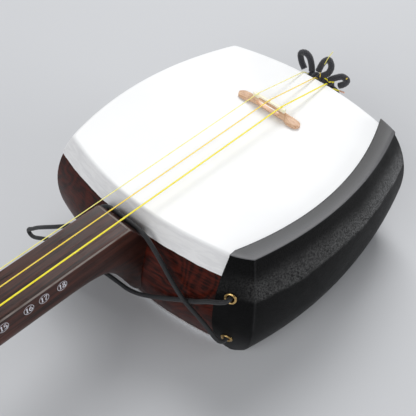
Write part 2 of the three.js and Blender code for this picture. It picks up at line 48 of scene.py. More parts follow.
# Six times the signed volume: each face is fanned into triangles and their scalar triple products are summed.
def signedVolume(points, faces):
    total = 0.0
    for face in faces:
        for k in range(1, face.shape[1] - 1):
            a, b, c = points[face[:, 0]], points[face[:, k]], points[face[:, k + 1]]
            total += np.einsum("ij,ij->", a, np.cross(b, c))
    return total


# Points (n, 3) in millimetres, face index arrays and their corner coordinates become one object.
def putMesh(name, points, faces, corners, material, body, sharp):
    if signedVolume(points, faces) < 0:
        faces, corners = [f[:, ::-1] for f in faces], [c[:, ::-1] for c in corners]
    counts = np.concatenate([np.full(len(f), f.shape[1]) for f in faces])
    indices = np.concatenate([f.ravel() for f in faces]).astype(np.int32)
    mesh = bpy.data.meshes.new(name)
    mesh.vertices.add(len(points))
    mesh.vertices.foreach_set("co", (points * mm).astype(np.float32).ravel())
    mesh.loops.add(len(indices))
    mesh.loops.foreach_set("vertex_index", indices)
    mesh.polygons.add(len(counts))
    mesh.polygons.foreach_set("loop_start", np.concatenate([[0], np.cumsum(counts)[:-1]]).astype(np.int32))
    mesh.update(calc_edges=True)
    layer = mesh.uv_layers.new(name="along")
    layer.data.foreach_set("uv", np.concatenate([c.reshape(-1, 2)
                                                 for c in corners]).astype(np.float32).ravel())
    mesh.polygons.foreach_set("use_smooth", np.ones(len(counts), bool))
    mesh.set_sharp_from_angle(angle=np.radians(sharp))
    piece = bpy.data.objects.new(name, mesh)
    bpy.context.scene.collection.objects.link(piece)
    if material:
        mesh.materials.append(material)
    if body:
        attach(piece, body)
    return piece


# Marks where a piece takes a painted edge highlight, by face or by point; those after the given marks take
# none.
def markWear(piece, domain, wearAndHighlight):
    layer = piece.data.attributes.new("wear", "FLOAT", domain)
    values = np.zeros(len(layer.data), np.float32)
    values[:wearAndHighlight.size] = wearAndHighlight.ravel()
    layer.data.foreach_set("value", values)


# The quads between the rows and columns of a grid, with each corner's place in the grid.
def gridQuads(rows, columns, wrapRows=False, wrapColumns=False):
    i, j = np.meshgrid(np.arange(rows - (not wrapRows)), np.arange(columns - (not wrapColumns)),
                       indexing="ij")
    i, j = i.ravel(), j.ravel()
    across, along = np.stack([i, i + 1, i + 1, i], 1), np.stack([j, j, j + 1, j + 1], 1)
    return (across % rows) * columns + along % columns, np.stack([across, along], 2).astype(float)


# A closed body through rings (n, m, 3): neighbours are joined by quads and each end is fanned to its middle.
# The corner coordinates are metres along the rings and turns round them.
def ringBody(name, rings, material, sharp=38, body="instrument"):
    n, m = rings.shape[:2]
    middles = rings.mean(1)
    lengths = np.concatenate([[0], np.cumsum(np.linalg.norm(np.diff(middles, axis=0), axis=1))]) * mm
    quads, places = gridQuads(n, m, wrapColumns=True)
    j = np.arange(m)
    first = np.stack([np.full(m, n * m), j, (j + 1) % m], 1)
    last = np.stack([np.full(m, n * m + 1), (n - 1) * m + (j + 1) % m, (n - 1) * m + j], 1)
    uv = np.stack([lengths[places[..., 0].astype(int)], places[..., 1] / m], 2)
    ends = [np.stack([np.full((m, 3), lengths[k]), np.stack([j + 0.5, j, j + 1], 1) / m], 2) for k in (0, -1)]
    points = np.concatenate([rings.reshape(-1, 3), rings[[0, -1]].mean(1)])
    return putMesh(name, points, [quads, first, last], [uv, *ends], material, body, sharp)


# A ring that closes on itself, such as a loop of wire: rings joined by quads both ways.
def ringLoop(name, rings, material, sharp=38):
    n, m = rings.shape[:2]
    quads, places = gridQuads(n, m, wrapRows=True, wrapColumns=True)
    return putMesh(name, rings.reshape(-1, 3), [quads], [places / [n, m]], material, "instrument", sharp)


# A closed wall between two equal grids: both grids' quads, one set turned over, and a strip round their
# borders. The corner coordinates are metres measured along the outer grid's middle row and column.
def wallBody(name, outer, inner, material, sharp=38):
    n, m = outer.shape[:2]
    down = np.linalg.norm(np.diff(outer[:, m // 2], axis=0), axis=1)
    over = np.linalg.norm(np.diff(outer[n // 2], axis=0), axis=1)
    place = [np.concatenate([[0], np.cumsum(steps)]) * mm for steps in (down, over)]
    quads, places = gridQuads(n, m)
    index = np.arange(n * m).reshape(n, m)
    border = np.concatenate([index[:-1, 0], index[-1, :-1], index[:0:-1, -1], index[0, :0:-1]])
    after = np.roll(border, -1)
    strip = np.stack([after, border, border + n * m, after + n * m], 1)
    uvOf = lambda rows, columns: np.stack([place[0][rows], place[1][columns]], -1)
    flat = uvOf(places[..., 0].astype(int), places[..., 1].astype(int))
    edge = uvOf((strip % (n * m)) // m, strip % m)
    points = np.concatenate([outer.reshape(-1, 3), inner.reshape(-1, 3)])
    faces = [quads, quads[:, ::-1] + n * m, strip]
    return putMesh(name, points, faces, [flat, flat[:, ::-1], edge], material, "instrument", sharp)


# A closed skin on a rim: two grids of rings, each fanned to its middle at the first column and joined by a
# strip at the last. The corner coordinates are metres round the rim and metres out from the middle.
def drumBody(name, outer, inner, material):
    n, m = outer.shape[:2]
    round_ = np.linalg.norm(np.roll(outer[:, -1], -1, 0) - outer[:, -1], axis=1)
    around = np.concatenate([[0], np.cumsum(round_)]) * mm
    out = np.concatenate([[0], np.cumsum(np.linalg.norm(np.diff(outer[0], axis=0), axis=1))]) * mm
    quads, places = gridQuads(n, m, wrapRows=True)
    i = np.arange(n)
    nextI = (i + 1) % n
    lower, size = n * m, 2 * n * m
    fans = [np.stack([np.full(n, size), nextI * m, i * m], 1),
            np.stack([np.full(n, size + 1), lower + i * m, lower + nextI * m], 1)]
    rim = np.stack([i * m + m - 1, nextI * m + m - 1, lower + nextI * m + m - 1, lower + i * m + m - 1], 1)
    flat = np.stack([around[places[..., 0].astype(int)], out[places[..., 1].astype(int)]], 2)
    fanUv = np.stack([np.stack([around[i], around[i + 1], around[i]], 1), np.full((n, 3), out[0])], 2)
    rimUv = np.stack([np.stack([around[i], around[i + 1], around[i + 1], around[i]], 1),
                      np.full((n, 4), out[-1])], 2)
    points = np.concatenate([outer.reshape(-1, 3), inner.reshape(-1, 3), outer[:, 0].mean(0)[None],
                             inner[:, 0].mean(0)[None]])
    faces = [quads, quads[:, ::-1] + lower, *fans, rim]
    return putMesh(name, points, faces, [flat, flat[:, ::-1], fanUv, fanUv, rimUv], material, "instrument",
                   38)


# Takes the cutters out of a piece with exact booleans and bakes the result into its mesh.
def carve(piece, cutters, sharp=38):
    for cutter in cutters:
        change = piece.modifiers.new(cutter.name, "BOOLEAN")
        change.operation, change.solver, change.object = "DIFFERENCE", "EXACT", cutter
    bpy.context.view_layer.update()
    made = bpy.data.meshes.new_from_object(piece.evaluated_get(bpy.context.evaluated_depsgraph_get()))
    piece.modifiers.clear()
    piece.data = made
    made.set_sharp_from_angle(angle=np.radians(sharp))
    for cutter in cutters:
        bpy.data.objects.remove(cutter)


# A plain box body, used as a cutter and for small blocks; its edges are rounded by `round_`.
def blockBody(name, low, high, material=None, round_=0.0, body=None):
    low, high = np.array(low, float), np.array(high, float)
    centre, half = (low + high) / 2, (high - low) / 2
    angle = np.linspace(0, 2 * np.pi, 33)[:-1] + np.pi / 32
    flat = np.stack([np.cos(angle), np.sin(angle)], 1)
    corner = np.sign(flat) * (half[:2] - round_)
    levels = [(-half[2], 0.0), (-half[2] + 0.3 * round_, 0.7), (-half[2] + round_, 1.0),
              (half[2] - round_, 1.0), (half[2] - 0.3 * round_, 0.7), (half[2], 0.0)]
    if round_ == 0:
        corner, levels = np.sign(flat) * half[:2], [(-half[2], 0), (half[2], 0)]
        corner = corner[::8]
        flat = flat[::8]
    rings = np.stack([np.concatenate([corner + flat * round_ * share, np.full((len(flat), 1), z)], 1)
                      for z, share in levels])
    return ringBody(name, rings + centre, material, 38, body)


# A centripetal Catmull-Rom curve through the points, read at `count` places equally far apart along it.
def smoothPath(points, count):
    p = np.array(points, float)
    p = np.concatenate([[2 * p[0] - p[1]], p, [2 * p[-1] - p[-2]]])
    t = np.concatenate([[0], np.cumsum(np.sqrt(np.linalg.norm(np.diff(p, axis=0), axis=1)))])
    s = np.linspace(t[1], t[-2], 40 * len(p))
    k = np.clip(np.searchsorted(t, s, side="right") - 1, 1, len(p) - 3)
    lerp = lambda a, b, ta, tb: (a * (tb - s)[:, None] + b * (s - ta)[:, None]) / (tb - ta)[:, None]
    t0, t1, t2, t3 = t[k - 1], t[k], t[k + 1], t[k + 2]
    a1, a2, a3 = lerp(p[k - 1], p[k], t0, t1), lerp(p[k], p[k + 1], t1, t2), lerp(p[k + 1], p[k + 2], t2, t3)
    dense = lerp(lerp(a1, a2, t0, t2), lerp(a2, a3, t1, t3), t1, t2)
    return evenly(dense, count)


# Points equally far apart along a broken line.
def evenly(line, count):
    far = np.concatenate([[0], np.cumsum(np.linalg.norm(np.diff(line, axis=0), axis=1))])
    wanted = np.linspace(0, far[-1], count)
    return np.stack([np.interp(wanted, far, line[:, k]) for k in range(line.shape[1])], 1)


def lengthOf(line):
    return float(np.linalg.norm(np.diff(line, axis=0), axis=1).sum())


# Two directions square to the path at each of its points, carried along it without twist.
def carriedFrame(path):
    tangent = np.gradient(path, axis=0)
    tangent /= np.linalg.norm(tangent, axis=1)[:, None]
    start = np.cross(tangent[0], [0.31, 0.87, 0.38])
    side = np.empty_like(path)
    side[0] = start / np.linalg.norm(start)
    for k in range(1, len(path)):
        step = side[k - 1] - tangent[k] * (side[k - 1] @ tangent[k])
        side[k] = step / np.linalg.norm(step)
    return side, np.cross(tangent, side)


# A round profile carried along a path; `relief` (path points by turns) scales its radius.
def tubeRings(path, radius, sides, relief=None):
    side, up = carriedFrame(path)
    turn = np.linspace(0, 2 * np.pi, sides, endpoint=False)
    r = np.broadcast_to(np.asarray(radius, float).reshape(-1, 1), (len(path), 1)) * np.ones((1, sides))
    if relief is not None:
        r = r * relief
    return path[:, None] + r[..., None] * (np.cos(turn)[None, :, None] * side[:, None]
                                           + np.sin(turn)[None, :, None] * up[:, None])


# The relief of a braid: strands wind both ways, and the product of their two waves lifts a lozenge at each
# crossing.
def braidRelief(path, sides, strands, pitch, depth):
    along = np.linspace(0, lengthOf(path), len(path))[:, None] * 2 * np.pi / pitch
    turn = np.linspace(0, 2 * np.pi, sides, endpoint=False)[None] * strands
    lozenge = np.abs(np.cos((turn + along) / 2) * np.cos((turn - along) / 2))
    return 1 + depth * (np.sqrt(lozenge) - 0.75)


# A profile of (radius, height) pairs turned about +Z; the ends reach the axis or the profile closes on
# itself.
def turnedRings(profile, sides):
    profile = np.array(profile, float)
    turn = np.linspace(0, 2 * np.pi, sides, endpoint=False)
    r = profile[:, :1] * np.ones((1, sides))
    return np.stack([r * np.cos(turn), r * np.sin(turn), np.broadcast_to(profile[:, 1:], r.shape)], 2)


# A profile's corners rounded by cutting each one twice, a quarter of the way along both its sides.
def softened(profile, times, closed=False):
    p = np.array(profile, float)
    for _ in range(times):
        nextP = np.roll(p, -1, 0) if closed else p[1:]
        here = p if closed else p[:-1]
        cut = np.stack([0.75 * here + 0.25 * nextP, 0.25 * here + 0.75 * nextP], 1).reshape(-1, p.shape[1])
        p = cut if closed else np.concatenate([p[:1], cut, p[-1:]])
    return p


print("helpers ready")


view = dict(lens=64.1, sensor=36.0, place=(0.3186, 0.2550, 0.4502),
            right=(-0.6843, 0.7284, 0.0354), up=(-0.5130, -0.5153, 0.6865), back=(0.5183, 0.4516, 0.7262))


def addCamera():
    data = bpy.data.cameras.new("camera")
    data.lens, data.sensor_width = view["lens"], view["sensor"]
    data.clip_start, data.clip_end = 0.01, 50
    turn = np.array([view["right"], view["up"], view["back"]]).T
    u, _, v = np.linalg.svd(turn)
    camera = bpy.data.objects.new("camera", data)
    camera.matrix_world = Matrix.Translation(view["place"]) @ Matrix((u @ v).tolist()).to_4x4()
    bpy.context.scene.collection.objects.link(camera)
    bpy.context.scene.camera = camera


# One soft lamp: where it stands and what it faces in metres, its size, and its power.
studio = [dict(name="keyLamp", place=(-1.3, -1.0, 2.1), aim=(0, 0, 0.05), size=(1.5, 1.5), power=50),
          dict(name="sideLamp", place=(-1.15, 1.75, 0.42), aim=(0, 0.1, 0.07), size=(1.5, 0.32), power=20),
          dict(name="fillLamp", place=(1.9, 0.3, 1.3), aim=(0.1, 0, 0.05), size=(1.4, 1.4), power=26)]
room = dict(colour=(0.93, 0.96, 1.0), strength=0.2, floor=(0.60, 0.61, 0.63), floorSize=3.0)


def addStudio():
    for lamp in studio:
        data = bpy.data.lights.new(lamp["name"], "AREA")
        data.shape, data.size, data.size_y, data.energy = "RECTANGLE", *lamp["size"], lamp["power"]
        holder = bpy.data.objects.new(lamp["name"], data)
        back = np.array(lamp["place"]) - lamp["aim"]
        back /= np.linalg.norm(back)
        right = np.cross([0, 0, 1], back)
        right /= np.linalg.norm(right)
        turn = np.stack([right, np.cross(back, right), back], 1)
        holder.matrix_world = Matrix.Translation(lamp["place"]) @ Matrix(turn.tolist()).to_4x4()
        bpy.context.scene.collection.objects.link(holder)
    world = bpy.data.worlds.new("studio")
    world.use_nodes = True
    background = world.node_tree.nodes["Background"]
    background.inputs["Color"].default_value = (*room["colour"], 1)
    background.inputs["Strength"].default_value = room["strength"]
    bpy.context.scene.world = world
    bpy.context.scene.view_settings.view_transform = "Standard"
    half = room["floorSize"]
    mesh = bpy.data.meshes.new("floor")
    mesh.from_pydata([(-half, -half, -0.0004), (half, -half, -0.0004), (half, half, -0.0004),
                      (-half, half, -0.0004)],
                     [], [(0, 1, 2, 3)])
    floor = bpy.data.objects.new("floor", mesh)
    bpy.context.scene.collection.objects.link(floor)
    paper = bpy.data.materials.new("floorPaper")
    paper.use_nodes = True
    shader = paper.node_tree.nodes["Principled BSDF"]
    shader.inputs["Base Color"].default_value = (*room["floor"], 1)
    shader.inputs["Roughness"].default_value = 0.7
    mesh.materials.append(paper)


addCamera()
addStudio()
print("camera and studio ready")


# A node with its settings as attributes and its inputs by name or number; a linked input takes a socket.
def addNode(tree, kind, inputs=(), **settings):
    made = tree.nodes.new("ShaderNode" + kind)
    for key, value in settings.items():
        setattr(made, key, value)
    for key, value in dict(inputs).items():
        if isinstance(value, bpy.types.NodeSocket):
            tree.links.new(value, made.inputs[key])
        else:
            made.inputs[key].default_value = value
    return made


def calc(tree, operation, a, b=0.0, clamp=False):
    return addNode(tree, "Math", {0: a, 1: b}, operation=operation, use_clamp=clamp).outputs[0]


# A smooth step of `value` from `low` to `high`.
def stepped(tree, value, low, high):
    made = addNode(tree, "MapRange", {"Value": value, "From Min": low, "From Max": high},
                   interpolation_type="SMOOTHSTEP")
    return made.outputs["Result"]


def mixColour(tree, share, a, b):
    made = addNode(tree, "Mix", {0: share, 6: a, 7: b}, data_type="RGBA")
    return made.outputs[2]


def noiseAt(tree, vector, scale, detail, rough=0.55, distort=0.0):
    return addNode(tree, "TexNoise", {"Vector": vector, "Scale": scale, "Detail": detail, "Roughness": rough,
                                      "Distortion": distort}).outputs["Fac"]


def stretched(tree, vector, scale):
    return addNode(tree, "VectorMath", {0: vector, 1: scale}, operation="MULTIPLY").outputs[0]


# An empty shader group with its sockets: inputs are (name, kind, default), outputs (name, kind).
def newGroup(name, inputs, outputs):
    tree = bpy.data.node_groups.new(name, "ShaderNodeTree")
    for label, kind, default in inputs:
        socket = tree.interface.new_socket(label, in_out="INPUT", socket_type="NodeSocket" + kind)
        if default is not None:
            socket.default_value = default
    for label, kind in outputs:
        tree.interface.new_socket(label, in_out="OUTPUT", socket_type="NodeSocket" + kind)
    return tree, tree.nodes.new("NodeGroupInput").outputs, tree.nodes.new("NodeGroupOutput").inputs


# Wood: long streaks and short pores run along the vector's X; the contour lines of a soft noise give the
# figure.
def makeWoodGroup():
    tree, given, put = newGroup("woodFigure", [
        ("Vector", "Vector", None), ("Dark", "Color", (0.02, 0.01, 0.01, 1)),
        ("Light", "Color", (0.1, 0.05, 0.04, 1)),
        ("Streaks", "Float", 300.0), ("Stretch", "Float", 0.05), ("Figure Scale", "Float", 18.0),
        ("Rings", "Float", 12.0), ("Figure", "Float", 0.5), ("Pores", "Float", 0.5)],
        [("Color", "Color"), ("Height", "Float"), ("Shade", "Float")])
    parts = addNode(tree, "SeparateXYZ", {0: given["Vector"]}).outputs
    long_ = addNode(tree, "CombineXYZ", {0: calc(tree, "MULTIPLY", parts[0], given["Stretch"]), 1: parts[1],
                                         2: parts[2]})
    bent = noiseAt(tree, given["Vector"], given["Figure Scale"], 2.0, 0.5, 0.6)
    streak = noiseAt(tree, long_.outputs[0], given["Streaks"], 5.0, 0.62, 0.35)
    rings = calc(tree, "SINE", calc(tree, "ADD", calc(tree, "MULTIPLY",
                                                      calc(tree, "MULTIPLY", bent, given["Rings"]), 6.283),
                                    calc(tree, "MULTIPLY", streak, 2.6)))
    figure = stepped(tree, rings, -0.9, 1.0)
    clouds = noiseAt(tree, given["Vector"], calc(tree, "MULTIPLY", given["Figure Scale"], 0.55), 3.0, 0.6,
                     0.3)
    fine = stepped(tree, streak, 0.34, 0.66)
    level = addNode(tree, "Mix", {0: given["Figure"], 2: fine, 3: figure}, data_type="FLOAT").outputs[0]
    level = calc(tree, "MULTIPLY", level, calc(tree, "ADD", calc(tree, "MULTIPLY", clouds, 0.9), 0.45),
                 clamp=True)
    dash = noiseAt(tree, long_.outputs[0], calc(tree, "MULTIPLY", given["Streaks"], 3.4), 2.0, 0.5, 0.0)
    pore = stepped(tree, dash, 0.62, 0.70)
    base = mixColour(tree, level, given["Dark"], given["Light"])
    deep = mixColour(tree, calc(tree, "MULTIPLY", pore, given["Pores"]), base, (0.004, 0.002, 0.002, 1))
    tree.links.new(deep, put["Color"])
    tree.links.new(calc(tree, "SUBTRACT", calc(tree, "MULTIPLY", level, 0.3), pore), put["Height"])
    tree.links.new(calc(tree, "ADD", calc(tree, "MULTIPLY", pore, 0.5), calc(tree, "MULTIPLY", fine, 0.2)),
                   put["Shade"])
    return tree


# Pebbled leather: raised cells of two sizes with creases between them.
def makePebbleGroup():
    tree, given, put = newGroup("pebbledGrain", [("Vector", "Vector", None), ("Scale", "Float", 900.0),
                                                 ("Smooth", "Float", 0.0)],
                                [("Height", "Float"), ("Crease", "Float")])
    coarse = calc(tree, "MULTIPLY", given["Scale"], 0.4)
    wobble = addNode(tree, "TexNoise", {"Vector": given["Vector"], "Scale": coarse}).outputs["Color"]
    shift = stretched(tree, wobble, (0.0006, 0.0006, 0.0006))
    warped = addNode(tree, "VectorMath", {0: given["Vector"], 1: shift}, operation="ADD").outputs[0]
    big = addNode(tree, "TexVoronoi", {"Vector": warped, "Scale": given["Scale"]},
                  feature="SMOOTH_F1").outputs["Distance"]
    fine = calc(tree, "MULTIPLY", given["Scale"], 2.3)
    small = addNode(tree, "TexVoronoi", {"Vector": warped, "Scale": fine}).outputs["Distance"]
    cells = calc(tree, "ADD", calc(tree, "MULTIPLY", big, 0.9), calc(tree, "MULTIPLY", small, 0.35))
    pebble = calc(tree, "SUBTRACT", 1.0, cells)
    kept = calc(tree, "MULTIPLY", pebble, calc(tree, "SUBTRACT", 1.0, given["Smooth"]))
    tree.links.new(kept, put["Height"])
    tree.links.new(stepped(tree, kept, 0.55, 0.2), put["Crease"])
    return tree


# Cord cloth: strands wind both ways round a cord; the vector's X is metres along it and its Y turns round it.
def makeClothGroup():
    tree, given, put = newGroup("cordCloth", [("Vector", "Vector", None), ("Strands", "Float", 8.0),
                                              ("Pitch", "Float", 0.002)],
                                [("Height", "Float"), ("Fleck", "Float")])
    parts = addNode(tree, "SeparateXYZ", {0: given["Vector"]}).outputs
    along = calc(tree, "MULTIPLY", calc(tree, "DIVIDE", parts[0], given["Pitch"]), 3.1416)
    around = calc(tree, "MULTIPLY", calc(tree, "MULTIPLY", parts[1], given["Strands"]), 3.1416)
    waves = [calc(tree, "COSINE", calc(tree, kind, around, along)) for kind in ("ADD", "SUBTRACT")]
    lozenge = calc(tree, "ABSOLUTE", calc(tree, "MULTIPLY", *waves))
    thread = noiseAt(tree, stretched(tree, given["Vector"], (2600.0, 30.0, 1.0)), 1.0, 2.0, 0.6)
    tree.links.new(calc(tree, "ADD", lozenge, calc(tree, "MULTIPLY", thread, 0.25)), put["Height"])
    # Painted shade: the second output is lighter on the raised crossings and darker between them, with random
    # tone along the threads; it colours the weave.
    tree.links.new(calc(tree, "MULTIPLY", calc(tree, "ADD", lozenge, 0.35), calc(tree, "ADD", thread, 0.5)),
                   put["Fleck"])
    return tree


# Handling marks: slow smudges and thin scuffs that change how shiny a surface is.
def makeHandlingGroup():
    tree, given, put = newGroup("handling", [("Vector", "Vector", None), ("Smudge Scale", "Float", 30.0),
                                             ("Rough Low", "Float", 0.3), ("Rough High", "Float", 0.45)],
                                [("Roughness", "Float"), ("Smudge", "Float")])
    smudge = noiseAt(tree, given["Vector"], given["Smudge Scale"], 4.0, 0.6, 0.4)
    scuff = noiseAt(tree, stretched(tree, given["Vector"], (1.0, 7.0, 3.0)),
                    calc(tree, "MULTIPLY", given["Smudge Scale"], 9.0), 2.0)
    share = calc(tree, "ADD", stepped(tree, smudge, 0.3, 0.72),
                 calc(tree, "MULTIPLY", stepped(tree, scuff, 0.66, 0.74), 0.5), clamp=True)
    rough = addNode(tree, "Mix", {0: share, 2: given["Rough Low"], 3: given["Rough High"]},
                    data_type="FLOAT").outputs[0]
    tree.links.new(rough, put["Roughness"])
    tree.links.new(share, put["Smudge"])
    return tree


groups = dict(wood=makeWoodGroup(), pebble=makePebbleGroup(), cloth=makeClothGroup(),
              handling=makeHandlingGroup())


# A material with its tree, its shader, Object coordinates and the piece's own map.
def newMaterial(name, **sockets):
    material = bpy.data.materials.new(name)
    material.use_nodes = True
    tree = material.node_tree
    shader = tree.nodes["Principled BSDF"]
    for key, value in sockets.items():
        shader.inputs[key.replace("_", " ")].default_value = value
    place = addNode(tree, "TexCoord").outputs["Object"]
    along = addNode(tree, "UVMap", uv_map="along").outputs["UV"]
    return material, tree, shader, place, along


def useGroup(tree, key, inputs):
    made = addNode(tree, "Group", node_tree=groups[key])
    for label, value in inputs.items():
        if isinstance(value, bpy.types.NodeSocket):
            tree.links.new(value, made.inputs[label])
        else:
            made.inputs[label].default_value = value
    return made.outputs


def addBump(tree, shader, height, distance):
    bump = addNode(tree, "Bump", {"Height": height, "Distance": distance})
    tree.links.new(bump.outputs[0], shader.inputs["Normal"])


# Wood with handling marks; where a look names an edge highlight colour, marked edges are lightened towards it
# as a painted highlight.
def makeWood(name, look):
    material, tree, shader, place, along = newMaterial(name, Coat_Weight=look.get("coat", 0.0),
                                                       Coat_Roughness=0.12,
                                                       Specular_IOR_Level=look.get("shine", 0.5))
    vector = along if look.get("followsPiece") else place
    if "turn" in look:
        vector = addNode(tree, "VectorRotate", {"Vector": vector, "Angle": look["turn"]},
                         rotation_type="Z_AXIS").outputs[0]
    wood = useGroup(tree, "wood", {"Vector": vector, "Dark": (*look["dark"], 1), "Light": (*look["light"], 1),
                                   "Streaks": look["streaks"], "Stretch": look["stretch"],
                                   "Figure Scale": look["figureScale"],
                                   "Rings": look["rings"], "Figure": look["figure"], "Pores": look["pores"]})
    marks = useGroup(tree, "handling", {"Vector": place, "Rough Low": look["rough"][0],
                                        "Rough High": look["rough"][1],
                                        "Smudge Scale": 26.0})
    colour = wood["Color"]
    if "wear" in look:
        # Painted highlight: marked edges are lightened towards the highlight colour, more where smudges are.
        edge = addNode(tree, "Attribute", attribute_name="wear").outputs["Fac"]
        rubbed = calc(tree, "MULTIPLY", edge, calc(tree, "ADD", marks["Smudge"], 0.35), clamp=True)
        colour = mixColour(tree, rubbed, colour, (*look["wear"], 1))
    tree.links.new(colour, shader.inputs["Base Color"])
    rough = calc(tree, "ADD", marks["Roughness"], calc(tree, "MULTIPLY", wood["Shade"], 0.12), clamp=True)
    tree.links.new(rough, shader.inputs["Roughness"])
    addBump(tree, shader, wood["Height"], look["relief"])
    return material


bodyWoodLook = dict(dark=(0.0075, 0.0024, 0.0019), light=(0.088, 0.0125, 0.0062), streaks=520.0,
                    stretch=0.16, figureScale=19.0,
                    rings=15.0, figure=0.42, pores=0.6, rough=(0.34, 0.46), relief=0.00003, shine=0.10,
                    followsPiece=True)
# The neck look's last colour is a painted highlight for its chamfers and the bevel at the board's end.
neckWoodLook = dict(dark=(0.010, 0.0042, 0.0034), light=(0.080, 0.022, 0.014), streaks=430.0, stretch=0.03,
                    figureScale=10.0,
                    rings=3.0, figure=0.16, pores=0.75, rough=(0.34, 0.44), relief=0.00005, shine=0.3,
                    wear=(0.22, 0.19, 0.175))
bambooLook = dict(dark=(0.55, 0.31, 0.18), light=(0.86, 0.60, 0.41), streaks=900.0, stretch=0.06,
                  figureScale=60.0,
                  rings=2.0, figure=0.15, pores=0.28, rough=(0.38, 0.5), relief=0.00003, turn=1.5708)
ebonyLook = dict(dark=(0.006, 0.0045, 0.004), light=(0.022, 0.015, 0.012), streaks=700.0, stretch=0.04,
                 figureScale=20.0,
                 rings=3.0, figure=0.2, pores=0.3, rough=(0.2, 0.32), relief=0.00002, coat=0.3, turn=1.5708)
# The band's colours are a greyer white than the face: painted shade on the turned-down band.
skinLook = dict(face=(0.93, 0.935, 0.94), faceCloud=(0.915, 0.922, 0.932), band=(0.80, 0.80, 0.81),
                bandStreak=(0.88, 0.88, 0.885),
                middle=0.0492, bandFrom=(0.0488, 0.0470), rough=(0.42, 0.56), relief=0.00010)
# The leather look holds painted light as well as colour: a glint colour for the upper wall's band, an edge
# highlight colour, a lighter colour for the floor's reflection low on the wall, lighter greys for the top
# face's sheen, and a crease colour of painted shade.
leatherLook = dict(colour=(0.0042, 0.0043, 0.0047), crease=(0.0015, 0.0015, 0.0015),
                   flange=(0.074, 0.075, 0.079), flangeTail=(0.033, 0.033, 0.034), scale=1500.0,
                   fleckScale=1100.0,
                   rough=(0.42, 0.54), rubbed=(0.040, 0.040, 0.038), edge=(0.20, 0.20, 0.21),
                   hem=(0.026, 0.026, 0.028), shoulder=(0.0695, 0.0730, 0.0800, 0.0930),
                   flap=(0.093, 0.083), scuff=(0.05, 0.05, 0.052), waver=0.010, hemHeights=(0.045, 0.004),
                   flangeHeights=(0.1000, 0.1005), flangeX=(-0.09, 0.085), relief=0.00022)


# Skin: a cloudy white face, and a streaked band where it turns down over the wood, painted a greyer white as
# shade.
def makeSkin():
    material, tree, shader, place, along = newMaterial("drumSkin", Specular_IOR_Level=0.4)
    height = addNode(tree, "SeparateXYZ", {0: place}).outputs[2]
    side = addNode(tree, "Math", {0: calc(tree, "SUBTRACT", height, skinLook["middle"])},
                   operation="ABSOLUTE").outputs[0]
    onBand = stepped(tree, side, *skinLook["bandFrom"])
    streak = noiseAt(tree, stretched(tree, along, (60.0, 260.0, 1.0)), 1.0, 5.0, 0.6, 0.7)
    fibre = noiseAt(tree, place, 420.0, 4.0, 0.65)
    cloud = noiseAt(tree, place, 14.0, 3.0, 0.5)
    pale = mixColour(tree, stepped(tree, cloud, 0.3, 0.7), (*skinLook["face"], 1),
                     (*skinLook["faceCloud"], 1))
    # Painted shade: the band's base is a greyer white than the face; its streaks are texture.
    edge = mixColour(tree, stepped(tree, streak, 0.35, 0.62), (*skinLook["band"], 1),
                     (*skinLook["bandStreak"], 1))
    tree.links.new(mixColour(tree, onBand, pale, edge), shader.inputs["Base Color"])
    marks = useGroup(tree, "handling", {"Vector": place, "Rough Low": skinLook["rough"][0],
                                        "Rough High": skinLook["rough"][1],
                                        "Smudge Scale": 12.0})
    tree.links.new(marks["Roughness"], shader.inputs["Roughness"])
    relief = calc(tree, "ADD", calc(tree, "MULTIPLY", fibre, 0.25),
                  calc(tree, "MULTIPLY", calc(tree, "MULTIPLY", streak, onBand), 1.3))
    addBump(tree, shader, relief, skinLook["relief"])
    return material


